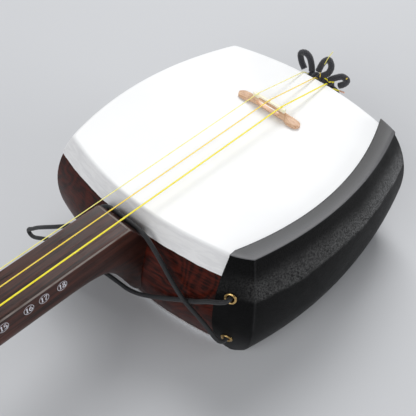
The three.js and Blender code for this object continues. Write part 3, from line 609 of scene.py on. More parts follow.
# Pebbled leather, smoother on its top face; along the upper wall its grains carry a painted highlight band
# and a glossy coat.
def makeLeather():
    material, tree, shader, place, _ = newMaterial("pebbledLeather", Specular_IOR_Level=0.06,
                                                   Coat_Roughness=0.14)
    parts = addNode(tree, "SeparateXYZ", {0: place}).outputs
    height = parts[2]
    onTop = stepped(tree, height, *leatherLook["flangeHeights"])
    grain = useGroup(tree, "pebble", {"Vector": place, "Scale": leatherLook["scale"],
                                      "Smooth": calc(tree, "MULTIPLY", onTop, 0.6)})
    marks = useGroup(tree, "handling", {"Vector": place, "Rough Low": leatherLook["rough"][0],
                                        "Rough High": leatherLook["rough"][1],
                                        "Smudge Scale": 18.0})
    # Painted sheen: the top face is a lighter grey than the wall, for the sheen it takes from above, and is
    # less light towards the tail end.
    flange = mixColour(tree, stepped(tree, parts[0], *leatherLook["flangeX"]),
                       (*leatherLook["flangeTail"], 1), (*leatherLook["flange"], 1))
    plain = mixColour(tree, onTop, (*leatherLook["colour"], 1), flange)
    # Painted shade: the creases between the pebbles are darkened, except on the smoother top.
    deep = mixColour(tree, calc(tree, "MULTIPLY", grain["Crease"], calc(tree, "SUBTRACT", 1.0, onTop)),
                     plain, (*leatherLook["crease"], 1))
    fleck = noiseAt(tree, place, leatherLook["fleckScale"], 3.0, 0.7)
    wearAndHighlight = calc(tree, "MULTIPLY", stepped(tree, noiseAt(tree, place, 60.0, 5.0, 0.7), 0.6, 0.8),
                stepped(tree, fleck, 0.5, 0.7))
    waver = calc(tree, "MULTIPLY", calc(tree, "SUBTRACT", noiseAt(tree, place, 30.0, 4.0, 0.6), 0.5),
                 leatherLook["waver"])
    lifted = calc(tree, "ADD", height, waver)
    low, full, fade, top = leatherLook["shoulder"]
    shoulder = calc(tree, "MULTIPLY", stepped(tree, lifted, low, full), stepped(tree, lifted, top, fade))
    onSide = stepped(tree, calc(tree, "ABSOLUTE", parts[0]), *leatherLook["flap"])
    shoulder = calc(tree, "MULTIPLY", shoulder, calc(tree, "ADD", calc(tree, "MULTIPLY", onSide, 0.75), 0.25))
    # Painted highlight: the band on the upper wall is lightened towards the glint colour, broken up by the
    # flecks, and also given a coat.
    glint = calc(tree, "MULTIPLY", shoulder, stepped(tree, fleck, 0.40, 0.60))
    lit = mixColour(tree, calc(tree, "MULTIPLY", glint, 0.7), deep, (*leatherLook["rubbed"], 1))
    scuffedAndLit = mixColour(tree, calc(tree, "MULTIPLY", wearAndHighlight, 0.2), lit, (*leatherLook["scuff"], 1))
    # Painted reflection: the wall is lightened towards its bottom edge, standing for the floor reflected
    # there.
    scuffedAndLit = mixColour(tree, stepped(tree, height, *leatherLook["hemHeights"]), scuffedAndLit,
                        (*leatherLook["hem"], 1))
    # Painted highlight: marked edges are lightened towards the edge colour, broken by the flecks.
    edge = calc(tree, "MULTIPLY", addNode(tree, "Attribute", attribute_name="wear").outputs["Fac"],
                stepped(tree, fleck, 0.0, 0.5))
    tree.links.new(mixColour(tree, calc(tree, "MULTIPLY", edge, 0.6), scuffedAndLit, (*leatherLook["edge"], 1)),
                   shader.inputs["Base Color"])
    tree.links.new(calc(tree, "ADD", glint, calc(tree, "MULTIPLY", onTop, 0.2), clamp=True),
                   shader.inputs["Coat Weight"])
    tree.links.new(marks["Roughness"], shader.inputs["Roughness"])
    addBump(tree, shader, grain["Height"], leatherLook["relief"])
    return material


# Cord cover: woven strands with a little lint; the weave is coloured with painted shade between its strands.
def makeCord(name, look):
    material, tree, shader, place, along = newMaterial(name, Sheen_Weight=look["sheen"], Sheen_Roughness=0.5,
                                                       Specular_IOR_Level=0.35)
    cloth = useGroup(tree, "cloth", {"Vector": along, "Strands": look["strands"], "Pitch": look["pitch"]})
    fluff = noiseAt(tree, place, 900.0, 3.0, 0.7)
    # Painted shade: the weave's colour follows its relief, darker between the strands.
    base = mixColour(tree, cloth["Fleck"], (*look["dark"], 1), (*look["light"], 1))
    tree.links.new(mixColour(tree, calc(tree, "MULTIPLY", stepped(tree, fluff, 0.55, 0.8), 0.3), base,
                             (*look["lint"], 1)),
                   shader.inputs["Base Color"])
    tree.links.new(calc(tree, "ADD", calc(tree, "MULTIPLY", cloth["Height"], -0.12), look["rough"]),
                   shader.inputs["Roughness"])
    addBump(tree, shader, cloth["Height"], look["relief"])
    return material


elasticLook = dict(dark=(0.006, 0.006, 0.007), light=(0.026, 0.027, 0.030), lint=(0.05, 0.05, 0.052),
                   strands=12.0, pitch=0.0011,
                   sheen=0.12, rough=0.68, relief=0.00008)
tailCordLook = dict(dark=(0.006, 0.006, 0.008), light=(0.040, 0.041, 0.050), lint=(0.09, 0.09, 0.10),
                    strands=8.0, pitch=0.0019,
                    sheen=0.35, rough=0.85, relief=0.00012)


# Twisted string: one wave winds round it, the dye is uneven along it, and the twist's grooves carry painted
# shade.
def makeString(name, colour, pale):
    material, tree, shader, _, along = newMaterial(name, Specular_IOR_Level=0.5, Coat_Weight=0.25,
                                                   Coat_Roughness=0.25)
    parts = addNode(tree, "SeparateXYZ", {0: along}).outputs
    turns = calc(tree, "ADD", calc(tree, "MULTIPLY", parts[0], 760.0), calc(tree, "MULTIPLY", parts[1], 3.0))
    twist = calc(tree, "SINE", calc(tree, "MULTIPLY", turns, 6.2832))
    dye = noiseAt(tree, stretched(tree, along, (220.0, 1.0, 1.0)), 1.0, 3.0, 0.6)
    base = mixColour(tree, stepped(tree, dye, 0.35, 0.75), (*colour, 1), (*pale, 1))
    # Painted shade: the twist's grooves are darkened towards a deeper yellow.
    groove = stepped(tree, twist, -0.2, -1.0)
    tree.links.new(mixColour(tree, calc(tree, "MULTIPLY", groove, 0.15), base, (0.62, 0.42, 0.02, 1)),
                   shader.inputs["Base Color"])
    tree.links.new(calc(tree, "ADD", calc(tree, "MULTIPLY", groove, 0.2), 0.35), shader.inputs["Roughness"])
    addBump(tree, shader, twist, 0.00001)
    return material


# Metal with small tarnished spots.
def makeMetal(name, colour, tarnish, rough):
    material, tree, shader, place, _ = newMaterial(name, Metallic=1.0)
    marks = useGroup(tree, "handling", {"Vector": place, "Rough Low": rough[0], "Rough High": rough[1],
                                        "Smudge Scale": 240.0})
    spots = noiseAt(tree, place, 900.0, 4.0, 0.6)
    tree.links.new(mixColour(tree, calc(tree, "MULTIPLY", stepped(tree, spots, 0.45, 0.75), 0.7),
                             (*colour, 1), (*tarnish, 1)),
                   shader.inputs["Base Color"])
    tree.links.new(marks["Roughness"], shader.inputs["Roughness"])
    addBump(tree, shader, spots, 0.00002)
    return material


# Cream insert: cloudy, a little see-through, with fine growth lines.
def makeBone():
    material, tree, shader, place, _ = newMaterial("boneInsert", Subsurface_Weight=0.35,
                                                   Subsurface_Scale=0.0015,
                                                       Subsurface_Radius=(1.0, 0.8, 0.5))
    lines = noiseAt(tree, stretched(tree, place, (1400.0, 90.0, 1400.0)), 1.0, 3.0, 0.6)
    cloud = noiseAt(tree, place, 260.0, 3.0, 0.5)
    base = mixColour(tree, cloud, (0.86, 0.80, 0.60, 1), (0.93, 0.89, 0.76, 1))
    tree.links.new(mixColour(tree, calc(tree, "MULTIPLY", stepped(tree, lines, 0.5, 0.75), 0.4), base,
                             (0.78, 0.66, 0.42, 1)),
                   shader.inputs["Base Color"])
    marks = useGroup(tree, "handling", {"Vector": place, "Rough Low": 0.25, "Rough High": 0.4,
                                        "Smudge Scale": 300.0})
    tree.links.new(marks["Roughness"], shader.inputs["Roughness"])
    addBump(tree, shader, lines, 0.00002)
    return material


# Printed film: a little uneven where the ink is thin.
def makeInk():
    material, tree, shader, place, _ = newMaterial("stickerInk")
    thin = noiseAt(tree, place, 2600.0, 3.0, 0.6)
    tree.links.new(mixColour(tree, stepped(tree, thin, 0.5, 0.8), (0.74, 0.74, 0.80, 1),
                             (0.42, 0.42, 0.47, 1)),
                   shader.inputs["Base Color"])
    marks = useGroup(tree, "handling", {"Vector": place, "Rough Low": 0.35, "Rough High": 0.5,
                                        "Smudge Scale": 400.0})
    tree.links.new(marks["Roughness"], shader.inputs["Roughness"])
    addBump(tree, shader, thin, 0.00001)
    return material


finishes = dict(
    body=makeWood("karinWood", bodyWoodLook), neck=makeWood("neckWood", neckWoodLook),
    bamboo=makeWood("bridgeBamboo", bambooLook),
    ebony=makeWood("pegEbony", ebonyLook), skin=makeSkin(), leather=makeLeather(),
    elastic=makeCord("elasticCloth", elasticLook),
    braid=makeCord("tailCordBraid", tailCordLook), bone=makeBone(), ink=makeInk(),
    antique=makeMetal("antiqueBrass", (0.62, 0.42, 0.17), (0.28, 0.17, 0.06), (0.22, 0.4)),
    brass=makeMetal("polishedBrass", (0.80, 0.60, 0.25), (0.50, 0.34, 0.12), (0.14, 0.3)),
    string1=makeString("thickString", (0.98, 0.83, 0.012), (1.0, 0.90, 0.05)),
    string2=makeString("middleString", (0.98, 0.70, 0.05), (1.0, 0.78, 0.14)),
    string3=makeString("thinString", (0.95, 0.88, 0.18), (1.0, 0.95, 0.40)),
    silk=makeString("silkWrapping", (0.80, 0.42, 0.30), (0.86, 0.55, 0.42)))
print("materials ready")


eyeletLook = dict(cutRadius=3.3, runHeights=(-0.8, 1.4, 3.2),
                  places=[(1, 83.5, 71.5), (1, 83.5, 27.5), (-1, 77.0, 68.0), (-1, 77.0, 30.0)],
                  names=["neck_upper", "neck_lower", "tail_upper", "tail_lower"])
body = dict(depth=98.4, cornerX=82.6, neckCornerY=79.9, tailCornerY=74.3, neckCrown=13.1, tailCrown=11.8,
            sideCrown=15.1,
            sideSwell=12.5, endSwellFree=12.5, endSwellCover=10.0, panel=9.0, mitre=0.0015)
cover = dict(inside=1.4, insideLess=0.8, outside=3.2, low=0.8, top=2.2, neckX=80.7, tailX=83.8, meanY=84.4,
             skew=2.6, crown=13.4,
             flapNeckY=74.0, flapTailY=66.0, flapSwing=7.0, swingBelow=30.0, tuckPower=1.6, skinDepth=17.0,
             easing=7.0,
             rounding=0.6, lip=0.35, flangeEnds=(83.0, -88.0), flapColumns=26, sideColumns=110, sharp=27,
             flangeY=86.8, flangeCurve=0.0023, flangeMiddleX=8.0)


# 0 at the two faces and 1 half way between them: one minus the square of the height from the middle.
def swell(z):
    return np.maximum(0, 1 - (2 * np.asarray(z, float) / body["depth"] - 1) ** 2)


def endSwell(fraction, z):
    return (body["endSwellFree"] + (body["endSwellCover"] - body["endSwellFree"]) * (fraction + 1)
            / 2) * swell(z)


# How far out an end of the body stands at y: the corner's x, its swell, and a parabola between the corners.
def endReach(end, y, z, out):
    corner = (body["neckCornerY"] if end > 0 else body["tailCornerY"]) + body["sideSwell"] * swell(z) + out
    fraction = y / corner
    crown = (body["neckCrown"] if end > 0 else body["tailCrown"]) * (1 - fraction ** 2)
    return body["cornerX"] + endSwell(fraction, z) + out + crown


def coverCornerX(end, z):
    return (cover["neckX"] if end > 0 else cover["tailX"]) + body["endSwellCover"] * swell(z)


def coverSideY(x, z):
    s = x / (body["cornerX"] + 1 + body["endSwellCover"] * swell(z))
    return cover["meanY"] + cover["skew"] * s + cover["crown"] * (1 - s ** 2) + body["sideSwell"] * swell(z)


# Lower down, the neck flap's edge swings back towards the long side.
def flapEdgeY(end, z):
    z = np.asarray(z, float)
    if end > 0:
        return cover["flapNeckY"] + cover["flapSwing"] * np.maximum(0,
                                                                    (cover["swingBelow"]
                                                                     - z) / cover["swingBelow"]) ** 2
    return np.full(z.shape, cover["flapTailY"])


# A flap's outer face: the body's end moved out, tucked in as a power of the way to the cover's corner.
def flapX(end, y, z):
    cornerX = coverCornerX(end, z)
    cornerY = coverSideY(end * cornerX, z)
    tuck = cornerX - endReach(end, cornerY, z, cover["outside"])
    t = np.maximum(0, (y - flapEdgeY(end, z)) / (cornerY - flapEdgeY(end, z)))
    return end * (endReach(end, y, z, cover["outside"]) + tuck * t ** cover["tuckPower"])


# An eyelet's centre on its flap and the direction square to the flap there, from the flap's two slopes.
def eyeletFrame(end, y, z):
    at = lambda a, b: np.array([float(flapX(end, np.float64(a), np.float64(b))), a, b])
    centre = at(y, z)
    outward = np.cross(at(y + 1, z) - centre, at(y, z + 1) - centre) * end
    return centre, outward / np.linalg.norm(outward)


eyelets = [eyeletFrame(*place) for place in eyeletLook["places"]]


# The straight start of an elastic, through its eyelet.
def eyeletRun(number):
    centre, outward = eyelets[number]
    return [list(centre + outward * height) for height in eyeletLook["runHeights"]]


elastic = dict(
    diameter=3.2, sides=20, easing=60, counts=dict(neck=900, tail=560),
    neck=[*eyeletRun(0),
          [101.6, 83, 72.2], [102.9, 79.8, 70.8], [103.3, 75.8, 67.8], [103.3, 71.6, 64.4],
          [103.6, 61, 54.2], [104.5, 51.9, 48], [106, 35, 35.6], [107.8, 23.4, 28.4], [111.2, 13.5, 25.2],
          [113.2, 4, 23.9], [113.6, -7, 23.4], [114.2, -20, 22.8], [116.2, -36, 23.4], [118.8, -53, 24.6],
          [121.6, -69, 23.6], [123.8, -80, 19.2], [124.8, -88, 14.6], [125.2, -93.2, 12.3],
          [125.2, -96.2, 13.4], [125.1, -97.4, 16.2], [125.1, -96.2, 19.0], [125.0, -93.0, 20.6],
          [124.8, -85.4, 28], [124.4, -74, 37.4], [122.6, -62.6, 45.4], [118.8, -49, 54.6],
          [114.6, -36.5, 66], [111.2, -26.6, 79], [109.4, -19.6, 89.8], [108.4, -14, 91.8],
          [108.2, -4, 91.8], [108.2, 5, 91.8], [108.2, 13.4, 91.8], [108.2, 19.4, 89.8], [107.8, 25.6, 83.6],
          [107.4, 32.2, 75.6], [107.2, 42.6, 62.8], [107, 53, 52.6], [105.2, 63, 44.2], [103.6, 71, 37.2],
          [103.2, 76.8, 32.6], [102.7, 81, 29.2], [101.4, 83.6, 27.2], *eyeletRun(1)[::-1]],
    tail=[*eyeletRun(2),
          [-102.6, 76.4, 68.8], [-103.7, 73, 68.8], [-103.9, 66.6, 68.6], [-104.4, 56, 68.4],
          [-105.8, 40, 68.6],
          [-108, 26, 69], [-112, 17.4, 70.4], [-116.2, 12.2, 73.4], [-118, 9.4, 76.8], [-118, 6.8, 79.4],
          [-118, 0, 79.8], [-118, -6.8, 79.4], [-118, -9.4, 76.8], [-118, -9.4, 68.5], [-118, -9.4, 60.4],
          [-118, -6.8, 57.6], [-118, 0, 57.2], [-117.6, 7, 56.6], [-115, 14, 55], [-110.6, 23, 51.6],
          [-107, 37, 45.6], [-104.9, 54, 38.4], [-104.2, 66, 33.6], [-103.9, 72.6, 30.8],
          [-102.6, 76.2, 29.6],
          *eyeletRun(3)[::-1]])


# An elastic cord from one eyelet to the other: its route is eased by averaging neighbours, and a lightly
# ribbed round profile is carried along it.
def addElastic(key):
    name = "cover_elastic_" + key
    path = smoothPath(elastic[key], elastic["counts"][key])
    for _ in range(elastic["easing"]):
        path[1:-1] = path[1:-1] / 2 + (path[:-2] + path[2:]) / 4
    path = evenly(path, len(path))
    relief = braidRelief(path, elastic["sides"], 10, 1.5, 0.05)
    piece = ringBody("elastic_" + key, tubeRings(path, elastic["diameter"] / 2, elastic["sides"], relief),
                     finishes["elastic"])
    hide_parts(name)
    print("elastic", key, "length", round(lengthOf(path)), "mm")


addElastic("neck")
addElastic("tail")


woodLow = 1.1
woodHigh = body["depth"] - woodLow


# A point of the body's outline at height z, moved out by `out`; t runs from 0 to 1 along one side, and the
# sides run anticlockwise from above. Each side is a parabola between its corners.
def bodySide(side, t, z, out=0.0, belly=None):
    belly = z if belly is None else belly
    t, z, belly = np.broadcast_arrays(np.asarray(t, float), np.asarray(z, float), np.asarray(belly, float))
    s = 2 * t - 1
    if side in ("neck", "tail"):
        end = 1 if side == "neck" else -1
        corner = (body["neckCornerY"]
                  if end > 0 else body["tailCornerY"]) + body["sideSwell"] * swell(belly) + out
        y = end * s * corner
        return np.stack([end * endReach(end, y, belly, out), y, z], -1)
    facing = 1 if side == "cover" else -1
    reach = body["cornerX"] + endSwell(facing, belly) + out
    x = -facing * s * reach
    corner = body["tailCornerY"] + (body["neckCornerY"] - body["tailCornerY"]) * (x / reach + 1) / 2
    y = facing * (corner + body["sideSwell"] * swell(belly) + out + body["sideCrown"] * (1 - s ** 2))
    return np.stack([x, y, z], -1)


tang = dict(half=9.5, low=56.0, high=80.0, tipHalf=6.5, tipLow=60.0, tipHigh=77.0, end=-122.0)


# One bent wooden panel: a wall between its bellied outer face and its plain inner face.
def addPanel(side):
    t = np.linspace(body["mitre"], 1 - body["mitre"], 64)[:, None]
    z = woodLow + (woodHigh - woodLow) * (1 - np.cos(np.linspace(0, np.pi, 40)))[None] / 2
    outer = bodySide(side, t, z)
    inner = bodySide(side, t, z, -body["panel"], 0.0)
    outer[:, [0, -1]] -= (outer[:, [0, -1]] - inner[:, [0, -1]]) * 0.05
    piece = wallBody("panel_" + side, outer, inner, finishes["body"])
    if side in ("neck", "tail"):
        x0, x1 = (70, 125) if side == "neck" else (-125, -70)
        half = tang["half"] + gap
        carve(piece, [blockBody("tangHole", (x0, -half, tang["low"] - gap), (x1, half, tang["high"] + gap))])
    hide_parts("body_panel_" + side)


for side in ("neck", "cover", "tail", "free"):
    addPanel(side)
print("body panels ready")


drum = dict(band=16.0, backBand=2.6, thick=0.8, out=1.0, edge=1.1, wave=0.22, perSide=130, easing=3,
            flatFront=(0.224, 0.219), flatBack=(0.197, 0.192))


# The whole outline at height z, moved out by `out`; its corners are eased by averaging neighbours.
def bodyOutline(z, out):
    t = np.linspace(0, 1, drum["perSide"], endpoint=False)
    ring = np.concatenate([bodySide(side, t, np.full(t.shape, float(z)), out)
                           for side in ("neck", "cover", "tail", "free")])
    for _ in range(drum["easing"]):
        ring = (np.roll(ring, 1, 0) + 2 * ring + np.roll(ring, -1, 0)) / 4
    return ring


# A skin: rings spread over the face, then round the edge, then down the wood; its lower edge is slightly
# wavy.
def addSkin(front):
    band = drum["band"] if front else drum["backBand"]
    height = lambda depth: body["depth"] - depth if front else depth
    face = bodyOutline(height(0), drum["out"] - drum["edge"])
    middle = face.mean(0)
    shares = np.array([0.01, 0.15, 0.3, 0.45, 0.6, 0.72, 0.82, 0.9, 0.95, 0.98, 0.995])
    outer = [middle + (face - middle) * share for share in shares]
    bend = np.linspace(0, np.pi / 2, 7)
    outer += [bodyOutline(height(drum["edge"] * (1 - np.cos(a))),
                          drum["out"] - drum["edge"] * (1 - np.sin(a))) for a in bend]
    turn = np.arange(4 * drum["perSide"]) * 2 * np.pi / (4 * drum["perSide"])
    ripple = drum["wave"] * (np.sin(turn * 23) + 0.6 * np.sin(turn * 57 + 1.3) + 0.4
                             * np.sin(turn * 91 + 0.5))
    ripple *= 1.0 if front else -0.3
    for depth in np.linspace(min(1.8, band * 0.55), band, 14):
        ring = bodyOutline(height(depth), drum["out"])
        ring[:, 2] += ripple * max(0.0, 1 - (band - depth) / min(2.5, band * 0.4))
        pucker = 0.05 * np.sin(turn * 68 + 2 * np.sin(turn * 5)) * np.sin(np.pi * depth / band)
        ring[:, :2] *= 1 + pucker[:, None] / 95
        outer.append(ring)
    inner = [middle + (bodyOutline(height(drum["thick"]), gap) - middle) * share for share in shares]
    inner += [bodyOutline(height(drum["thick"] + depth), gap) for depth in np.linspace(0, 0.4, 7)]
    inner += [bodyOutline(height(depth), gap) for depth in np.linspace(1.3, band - 0.1, 14)]
    outer, inner = np.stack(outer, 1), np.stack(inner, 1)
    inner[:, :len(shares), 2] = height(drum["thick"])
    name = "front_skin" if front else "back_skin"
    piece = drumBody("drum_" + name, outer, inner, finishes["skin"])
    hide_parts(name)


addSkin(True)
addSkin(False)
print("skins ready")


# How far the cover's inner face stands off the wood; it is nearer between the two skins' edges.
def coverInset(z):
    beyondSkin = np.minimum(z - cover["skinDepth"], body["depth"] - cover["skinDepth"] - z)
    return cover["inside"] - cover["insideLess"] * np.clip(beyondSkin / cover["easing"], 0, 1)


# One line of the cover at height z, from the neck flap's free edge round the long side to the tail flap's.
def coverLine(z, inside=False):
    t = np.linspace(0, 1, cover["flapColumns"])
    flaps = []
    for end in (1, -1):
        if inside:
            inset = coverInset(z)
            corner = (body["neckCornerY"]
                      if end > 0 else body["tailCornerY"]) + body["sideSwell"] * swell(z) + inset
            y = flapEdgeY(end, z) + (corner - flapEdgeY(end, z)) * t
            x = end * endReach(end, y, z, inset)
        else:
            cornerY = coverSideY(end * coverCornerX(end, z), z)
            y = flapEdgeY(end, z) + (cornerY - flapEdgeY(end, z)) * t
            x = flapX(end, y, z)
        flaps.append(np.stack([x, y], 1))
    share = np.linspace(0, 1, cover["sideColumns"])[1:-1]
    if inside:
        side = bodySide("cover", share, np.full(share.shape, float(z)), coverInset(z))[:, :2]
    else:
        x = coverCornerX(1, z) + (-coverCornerX(-1, z) - coverCornerX(1, z)) * share
        side = np.stack([x, coverSideY(x, z)], 1)
    line = np.concatenate([flaps[0], side, flaps[1][::-1]])
    return np.concatenate([line, np.full((len(line), 1), float(z))], 1)


# The flange's inner edge on the skin: a parabola along X, with as many points as the cover's line.
def flangeLine():
    near, columns = 0.012, cover["flapColumns"]
    share = np.concatenate([np.linspace(0, near, columns),
                            np.linspace(near, 1 - near, cover["sideColumns"])[1:-1],
                            np.linspace(1 - near, 1, columns)])
    start, end = cover["flangeEnds"]
    x = start + (end - start) * share
    return np.stack([x, cover["flangeY"] - cover["flangeCurve"] * (x - cover["flangeMiddleX"]) ** 2], 1)


# The cover is a wall: its outer grid climbs the side, turns over the top edge and runs in over the skin, and
# its inner grid comes back underneath at the same places.
def addCover():
    top = body["depth"] + cover["top"]
    rounding, lipRound = cover["rounding"], cover["lip"]
    levels = np.concatenate([[cover["low"], cover["low"] + lipRound], np.linspace(2.4, top - rounding, 44)])
    outer = [coverLine(z) for z in levels]
    edge = coverLine(body["depth"])
    flat = np.concatenate([edge[:, :2], np.full((len(edge), 1), top)], 1)
    inward = np.concatenate([flangeLine(), np.full((len(edge), 1), top)], 1) - flat
    unit = inward / np.linalg.norm(inward, axis=1)[:, None]
    for a in np.linspace(0, np.pi / 2, 6)[1:]:
        ring = edge + unit * rounding * (1 - np.cos(a))
        ring[:, 2] = top - rounding * (1 - np.sin(a))
        outer.append(ring)
    outer += [flat + inward * share for share in (0.3, 0.55, 0.8, 0.94)]
    lip = flat + inward
    outer += [lip - unit * lipRound * (1 - np.sin(a)) - [0, 0, lipRound * (1 - np.cos(a))]
              for a in (1.2, 0.5, 0.0)]
    low = body["depth"] + gap
    inside = [coverLine(z, True) for z in np.clip(levels, None, low)]
    rim = inside[-1][:, :2]
    under = np.concatenate([rim, np.full((len(rim), 1), low)], 1)
    back = np.concatenate([flangeLine(), np.full((len(edge), 1), low)], 1) - under
    inside += [under + back * share for share in np.linspace(0, 1, len(outer) - len(inside))]
    for k in range(len(levels)):
        inside[k][:, 2] = min(levels[k] + (lipRound if k == 0 else 0.0), low - 0.02 * (len(levels) - k))
    piece = wallBody("arm_rest_cover", np.stack(outer, 1), np.stack(inside, 1), finishes["leather"],
                     sharp=cover["sharp"])
    # Painted highlight along the flange's rounded outer edge and, faintly, down the two flap creases.
    creases = [cover["flapColumns"] - 1, -cover["flapColumns"]]
    wearAndHighlight = np.zeros((len(edge), len(outer)))
    wearAndHighlight[creases, 22:len(levels)] = 0.09
    wearAndHighlight[:, len(levels):len(levels) + 7] = [0.9, 1.0, 1.0, 1.0, 0.9, 0.45, 0.15]
    markWear(piece, "POINT", wearAndHighlight)
    holes = []
    for number, (centre, outward) in enumerate(eyelets):
        path = np.stack([centre - outward * 6, centre - outward * 2, centre + outward * 2,
                         centre + outward * 5])
        holes.append(ringBody(f"eyeletHole{number}", tubeRings(path, eyeletLook["cutRadius"], 32), None,
                              body=None))
    carve(piece, holes, cover["sharp"])
    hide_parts("arm_cover")


# A rolled eyelet: a turned profile that flares, rolls over the leather and comes back down its own barrel.
def addEyelet(number):
    profile = softened([(2.35, -1.7), (2.7, -1.7), (2.95, -1.2), (2.95, 0.0), (4.15, 0.05), (4.35, 0.35),
                        (4.2, 0.85), (3.6, 1.2),
                        (3.0, 1.15), (2.6, 0.8), (2.4, 0.2)], 2, closed=True)
    rings = turnedRings(profile, 48)
    centre, outward = eyelets[number]
    side = np.cross(outward, [0, 0, 1.0])
    side /= np.linalg.norm(side)
    turn = np.stack([side, np.cross(outward, side), outward], 1)
    piece = ringLoop("eyelet_" + eyeletLook["names"][number], rings @ turn.T + centre, finishes["antique"])
    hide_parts("cover_eyelet_" + eyeletLook["names"][number])


addCover()
for number in range(4):
    addEyelet(number)
print("cover ready")


neck = dict(top=100.1, startX=104.0, endX=117.0, heelPower=1.363, columns=64, rootRows=30, half=15.6,
            taper=3.0, rootSlope=1.44, low=68.6, thinning=6.3, heelDrop=54.6, heelReach=18.85,
            chamfer=0.8, bevel=(116.6, 118.2), chamferColumns=(65, 70), joints=(322.0, 520.0, 690.0),
            nutX=725.5, waist=84.0)


def alongNeck(x):
    return np.maximum(0, (x - neck["endX"]) / (neck["nutX"] - neck["endX"]))


def neckHalf(x):
    return neck["half"] - neck["taper"] * alongNeck(x)


# The board's top, a short bevel at its end, then the root's slope down to the body.
def neckTop(x):
    foot, edge = neck["bevel"]
    return neck["top"] - 0.5 * np.clip(edge - x, 0, edge - foot) - neck["rootSlope"] * np.maximum(0, foot - x)


def neckLow(x):
    beyond = np.maximum(0, x - neck["startX"]) / neck["heelReach"]
    drop = neck["heelDrop"] * np.exp(-(beyond ** neck["heelPower"]))
    return neck["low"] + neck["thinning"] * alongNeck(x) - drop


# The neck's section at each x: its first columns run down half an ellipse underneath, and the last nine are
# the upright sides, the chamfers and the board.
def neckSection(x):
    half, top, low = neckHalf(x), neckTop(x), neckLow(x)
    waist = np.minimum(neck["waist"] + alongNeck(x) * 1.5, top - 2.2)
    a = np.linspace(0, np.pi, neck["columns"])
    y = half[..., None] * np.cos(a)
    z = waist[..., None] - (waist - low)[..., None] * np.sin(a)
    cut = neck["chamfer"]
    ys = [-half, -half, -half + cut, -half * 0.5, half * 0, half * 0.5, half - cut, half, half]
    zs = [(waist + top - cut) / 2, top - cut, top, top, top, top, top, top - cut, (waist + top - cut) / 2]
    return np.concatenate([y, np.stack(ys, -1)], -1), np.concatenate([z, np.stack(zs, -1)], -1)


# The neck's first piece starts on the body: each column's start is moved until it meets the body's end face.
# Its rows then run to the foot of the board's bevel, across the bevel, and out along the neck ever further
# apart.
def neckRings(start, end, rows, onBody):
    columns = neckSection(np.array([200.0]))[0].shape[-1]
    k = np.arange(columns)
    begin = np.full(columns, float(start))
    if onBody:
        for _ in range(60):
            y, z = neckSection(begin)
            y, z = y[k, k], z[k, k]
            overSkin = (z > body["depth"] - drum["band"] - gap) * drum["out"]
            begin = 0.5 * begin + 0.5 * (endReach(1, y, z, 0.0) + overSkin + gap)
        foot, edge = neck["bevel"]
        rootRows = begin[None] + (foot - begin[None]) * np.linspace(0, 1, neck["rootRows"])[:, None]
        farRows = edge + (end - edge) * np.linspace(0, 1, rows)[:, None] ** 1.9 * np.ones((1, columns))
        x = np.concatenate([rootRows, farRows])
    else:
        x = begin[None] + (end - begin[None]) * np.linspace(0, 1, rows)[:, None]
    y, z = neckSection(x)
    return np.stack([x, y[:, k, k], z[:, k, k]], -1)


# A length of the neck; the chamfers and the bevel at the board's end carry a painted edge highlight.
def addNeckPiece(name, start, end, rows, onBody=False):
    rings = neckRings(start, end, rows, onBody)
    piece = ringBody("board_" + name, rings, finishes["neck"], sharp=24)
    row, column = np.divmod(np.arange((rings.shape[0] - 1) * rings.shape[1]), rings.shape[1])
    bevelRow = neck["rootRows"] - 1
    # Painted highlight on the chamfers and on the bevel's edge at the board's end.
    wearAndHighlight = np.isin(column, neck["chamferColumns"]) & ((row >= bevelRow) | (not onBody))
    if onBody:
        first, last = neck["chamferColumns"]
        wearAndHighlight |= (row == bevelRow) & (column >= first) & (column <= last)
    markWear(piece, "FACE", wearAndHighlight)
    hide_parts(name)


# A tang through the body: a block, with a smaller tip that stands out of the tail.
def addTang():
    piece = blockBody("neck_tang", (-106, -tang["half"], tang["low"]), (104, tang["half"], tang["high"]),
                      finishes["neck"], 1.2,
                      "instrument")
    tip = blockBody("neck_tang_tip", (tang["end"], -tang["tipHalf"], tang["tipLow"]),
                    (-105.5, tang["tipHalf"], tang["tipHigh"]),
                    finishes["neck"], 1.4, "instrument")


addNeckPiece("neck_lower", neck["startX"], neck["joints"][0] - gap / 2, 150, onBody=True)
addNeckPiece("neck_middle", neck["joints"][0] + gap / 2, neck["joints"][1] - gap / 2, 40)
addNeckPiece("neck_upper", neck["joints"][1] + gap / 2, neck["joints"][2] - gap / 2, 40)
addTang()
print("neck ready")


stickers = dict(places={4: 537.6, 6: 474.9, 9: 393.4, 10: 346.5, 15: 214.8, 16: 197.0, 17: 186.0, 18: 172.5},
                height=93.3, radius=3.6, ring=0.26, thick=0.06, pen=0.8)
